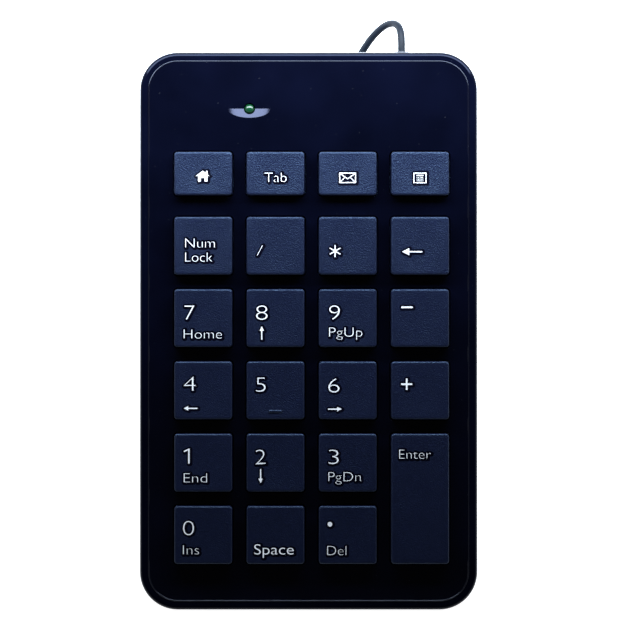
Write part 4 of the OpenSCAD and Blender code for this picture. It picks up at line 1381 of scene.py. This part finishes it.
class KEYPAD_OT_stage(Step, Operator):
    """Sets the pale floor, the soft light and the studio's surroundings"""

    bl_idname = "keypad.stage"
    bl_label = "Studio"

    def make(self, context):
        s = studio()
        scene = context.scene
        reach, under, light_size, aim_front = 4, 0.02 * MM, (0.3, 0.06), 0.01
        corners = [[x * reach, y * reach, -under] for x, y in ((-1, -1), (1, -1), (1, 1), (-1, 1))]
        floor = as_mesh("floor", corners, [[0, 1, 2, 3]])
        floor.data.materials.append(MADE["floor"])
        low, high = flat_box("face_plate")
        spot = [(low[0] + high[0]) / 2, high[1] + s.rear_back, high[2] + s.rear_up]
        aim = [spot[0], spot[1] - aim_front, high[2]]
        self.soft_light("rear_light", stand(spot), stand(aim), light_size, s.rear_power, s.rear_tint)
        self.surroundings(scene)
        scene.view_settings.view_transform = "Standard"

    def soft_light(self, name, spot, aim, size, power, tint):
        light = bpy.data.lights.new(name, "AREA")
        light.shape = "RECTANGLE"
        light.size, light.size_y = size
        light.energy = power
        light.color = tint
        back = unit(spot - aim)
        right = unit(np.cross([0, 0, 1], back))
        aimed(name, light, (right, np.cross(back, right), back), spot)

    def surroundings(self, scene):
        """Pale walls that darken to the ceiling, by the height of the direction looked in."""
        s = studio()
        scene.world = bpy.data.worlds.new("studio")
        sky = Network(scene.world)
        height = sky.parts(sky.node("ShaderNodeTexCoord", out="Generated"))[2]
        stops = ((0.0, s.walls), (0.22, s.walls), (0.5, 0.1 * s.walls), (0.75, s.ceiling))
        light = sky.node("ShaderNodeBackground", {}, {"Color": sky.ramp(height, stops)})
        sky.node("ShaderNodeOutputWorld", {}, {"Surface": light}, None)


class KEYPAD_PT_panel(Panel):
    """Lists the keypad's operators"""

    bl_label = "Numeric keypad"
    bl_idname = "KEYPAD_PT_panel"
    bl_space_type = "VIEW_3D"
    bl_region_type = "UI"
    bl_category = "Keypad"

    def draw(self, context):
        for step in STEPS:
            self.layout.operator(step.bl_idname)


STEPS = (
    KEYPAD_OT_camera, KEYPAD_OT_lead, KEYPAD_OT_plug, KEYPAD_OT_keys, KEYPAD_OT_legends, KEYPAD_OT_case,
    KEYPAD_OT_domes, KEYPAD_OT_lamp, KEYPAD_OT_edges, KEYPAD_OT_stage,
)
CLASSES = (KeypadSizes, KeypadColours, StudioSettings, *STEPS, KEYPAD_PT_panel)


def register():
    for cls in CLASSES:
        bpy.utils.register_class(cls)
    bpy.types.Scene.keypad_sizes = PointerProperty(type=KeypadSizes)
    bpy.types.Scene.keypad_colours = PointerProperty(type=KeypadColours)
    bpy.types.Scene.keypad_studio = PointerProperty(type=StudioSettings)


def unregister():
    del bpy.types.Scene.keypad_studio
    del bpy.types.Scene.keypad_colours
    del bpy.types.Scene.keypad_sizes
    for cls in reversed(CLASSES):
        bpy.utils.unregister_class(cls)


def main():
    register()
    for step in STEPS:
        group, name = step.bl_idname.split(".")
        getattr(getattr(bpy.ops, group), name)()


if __name__ == "__main__":
    main()
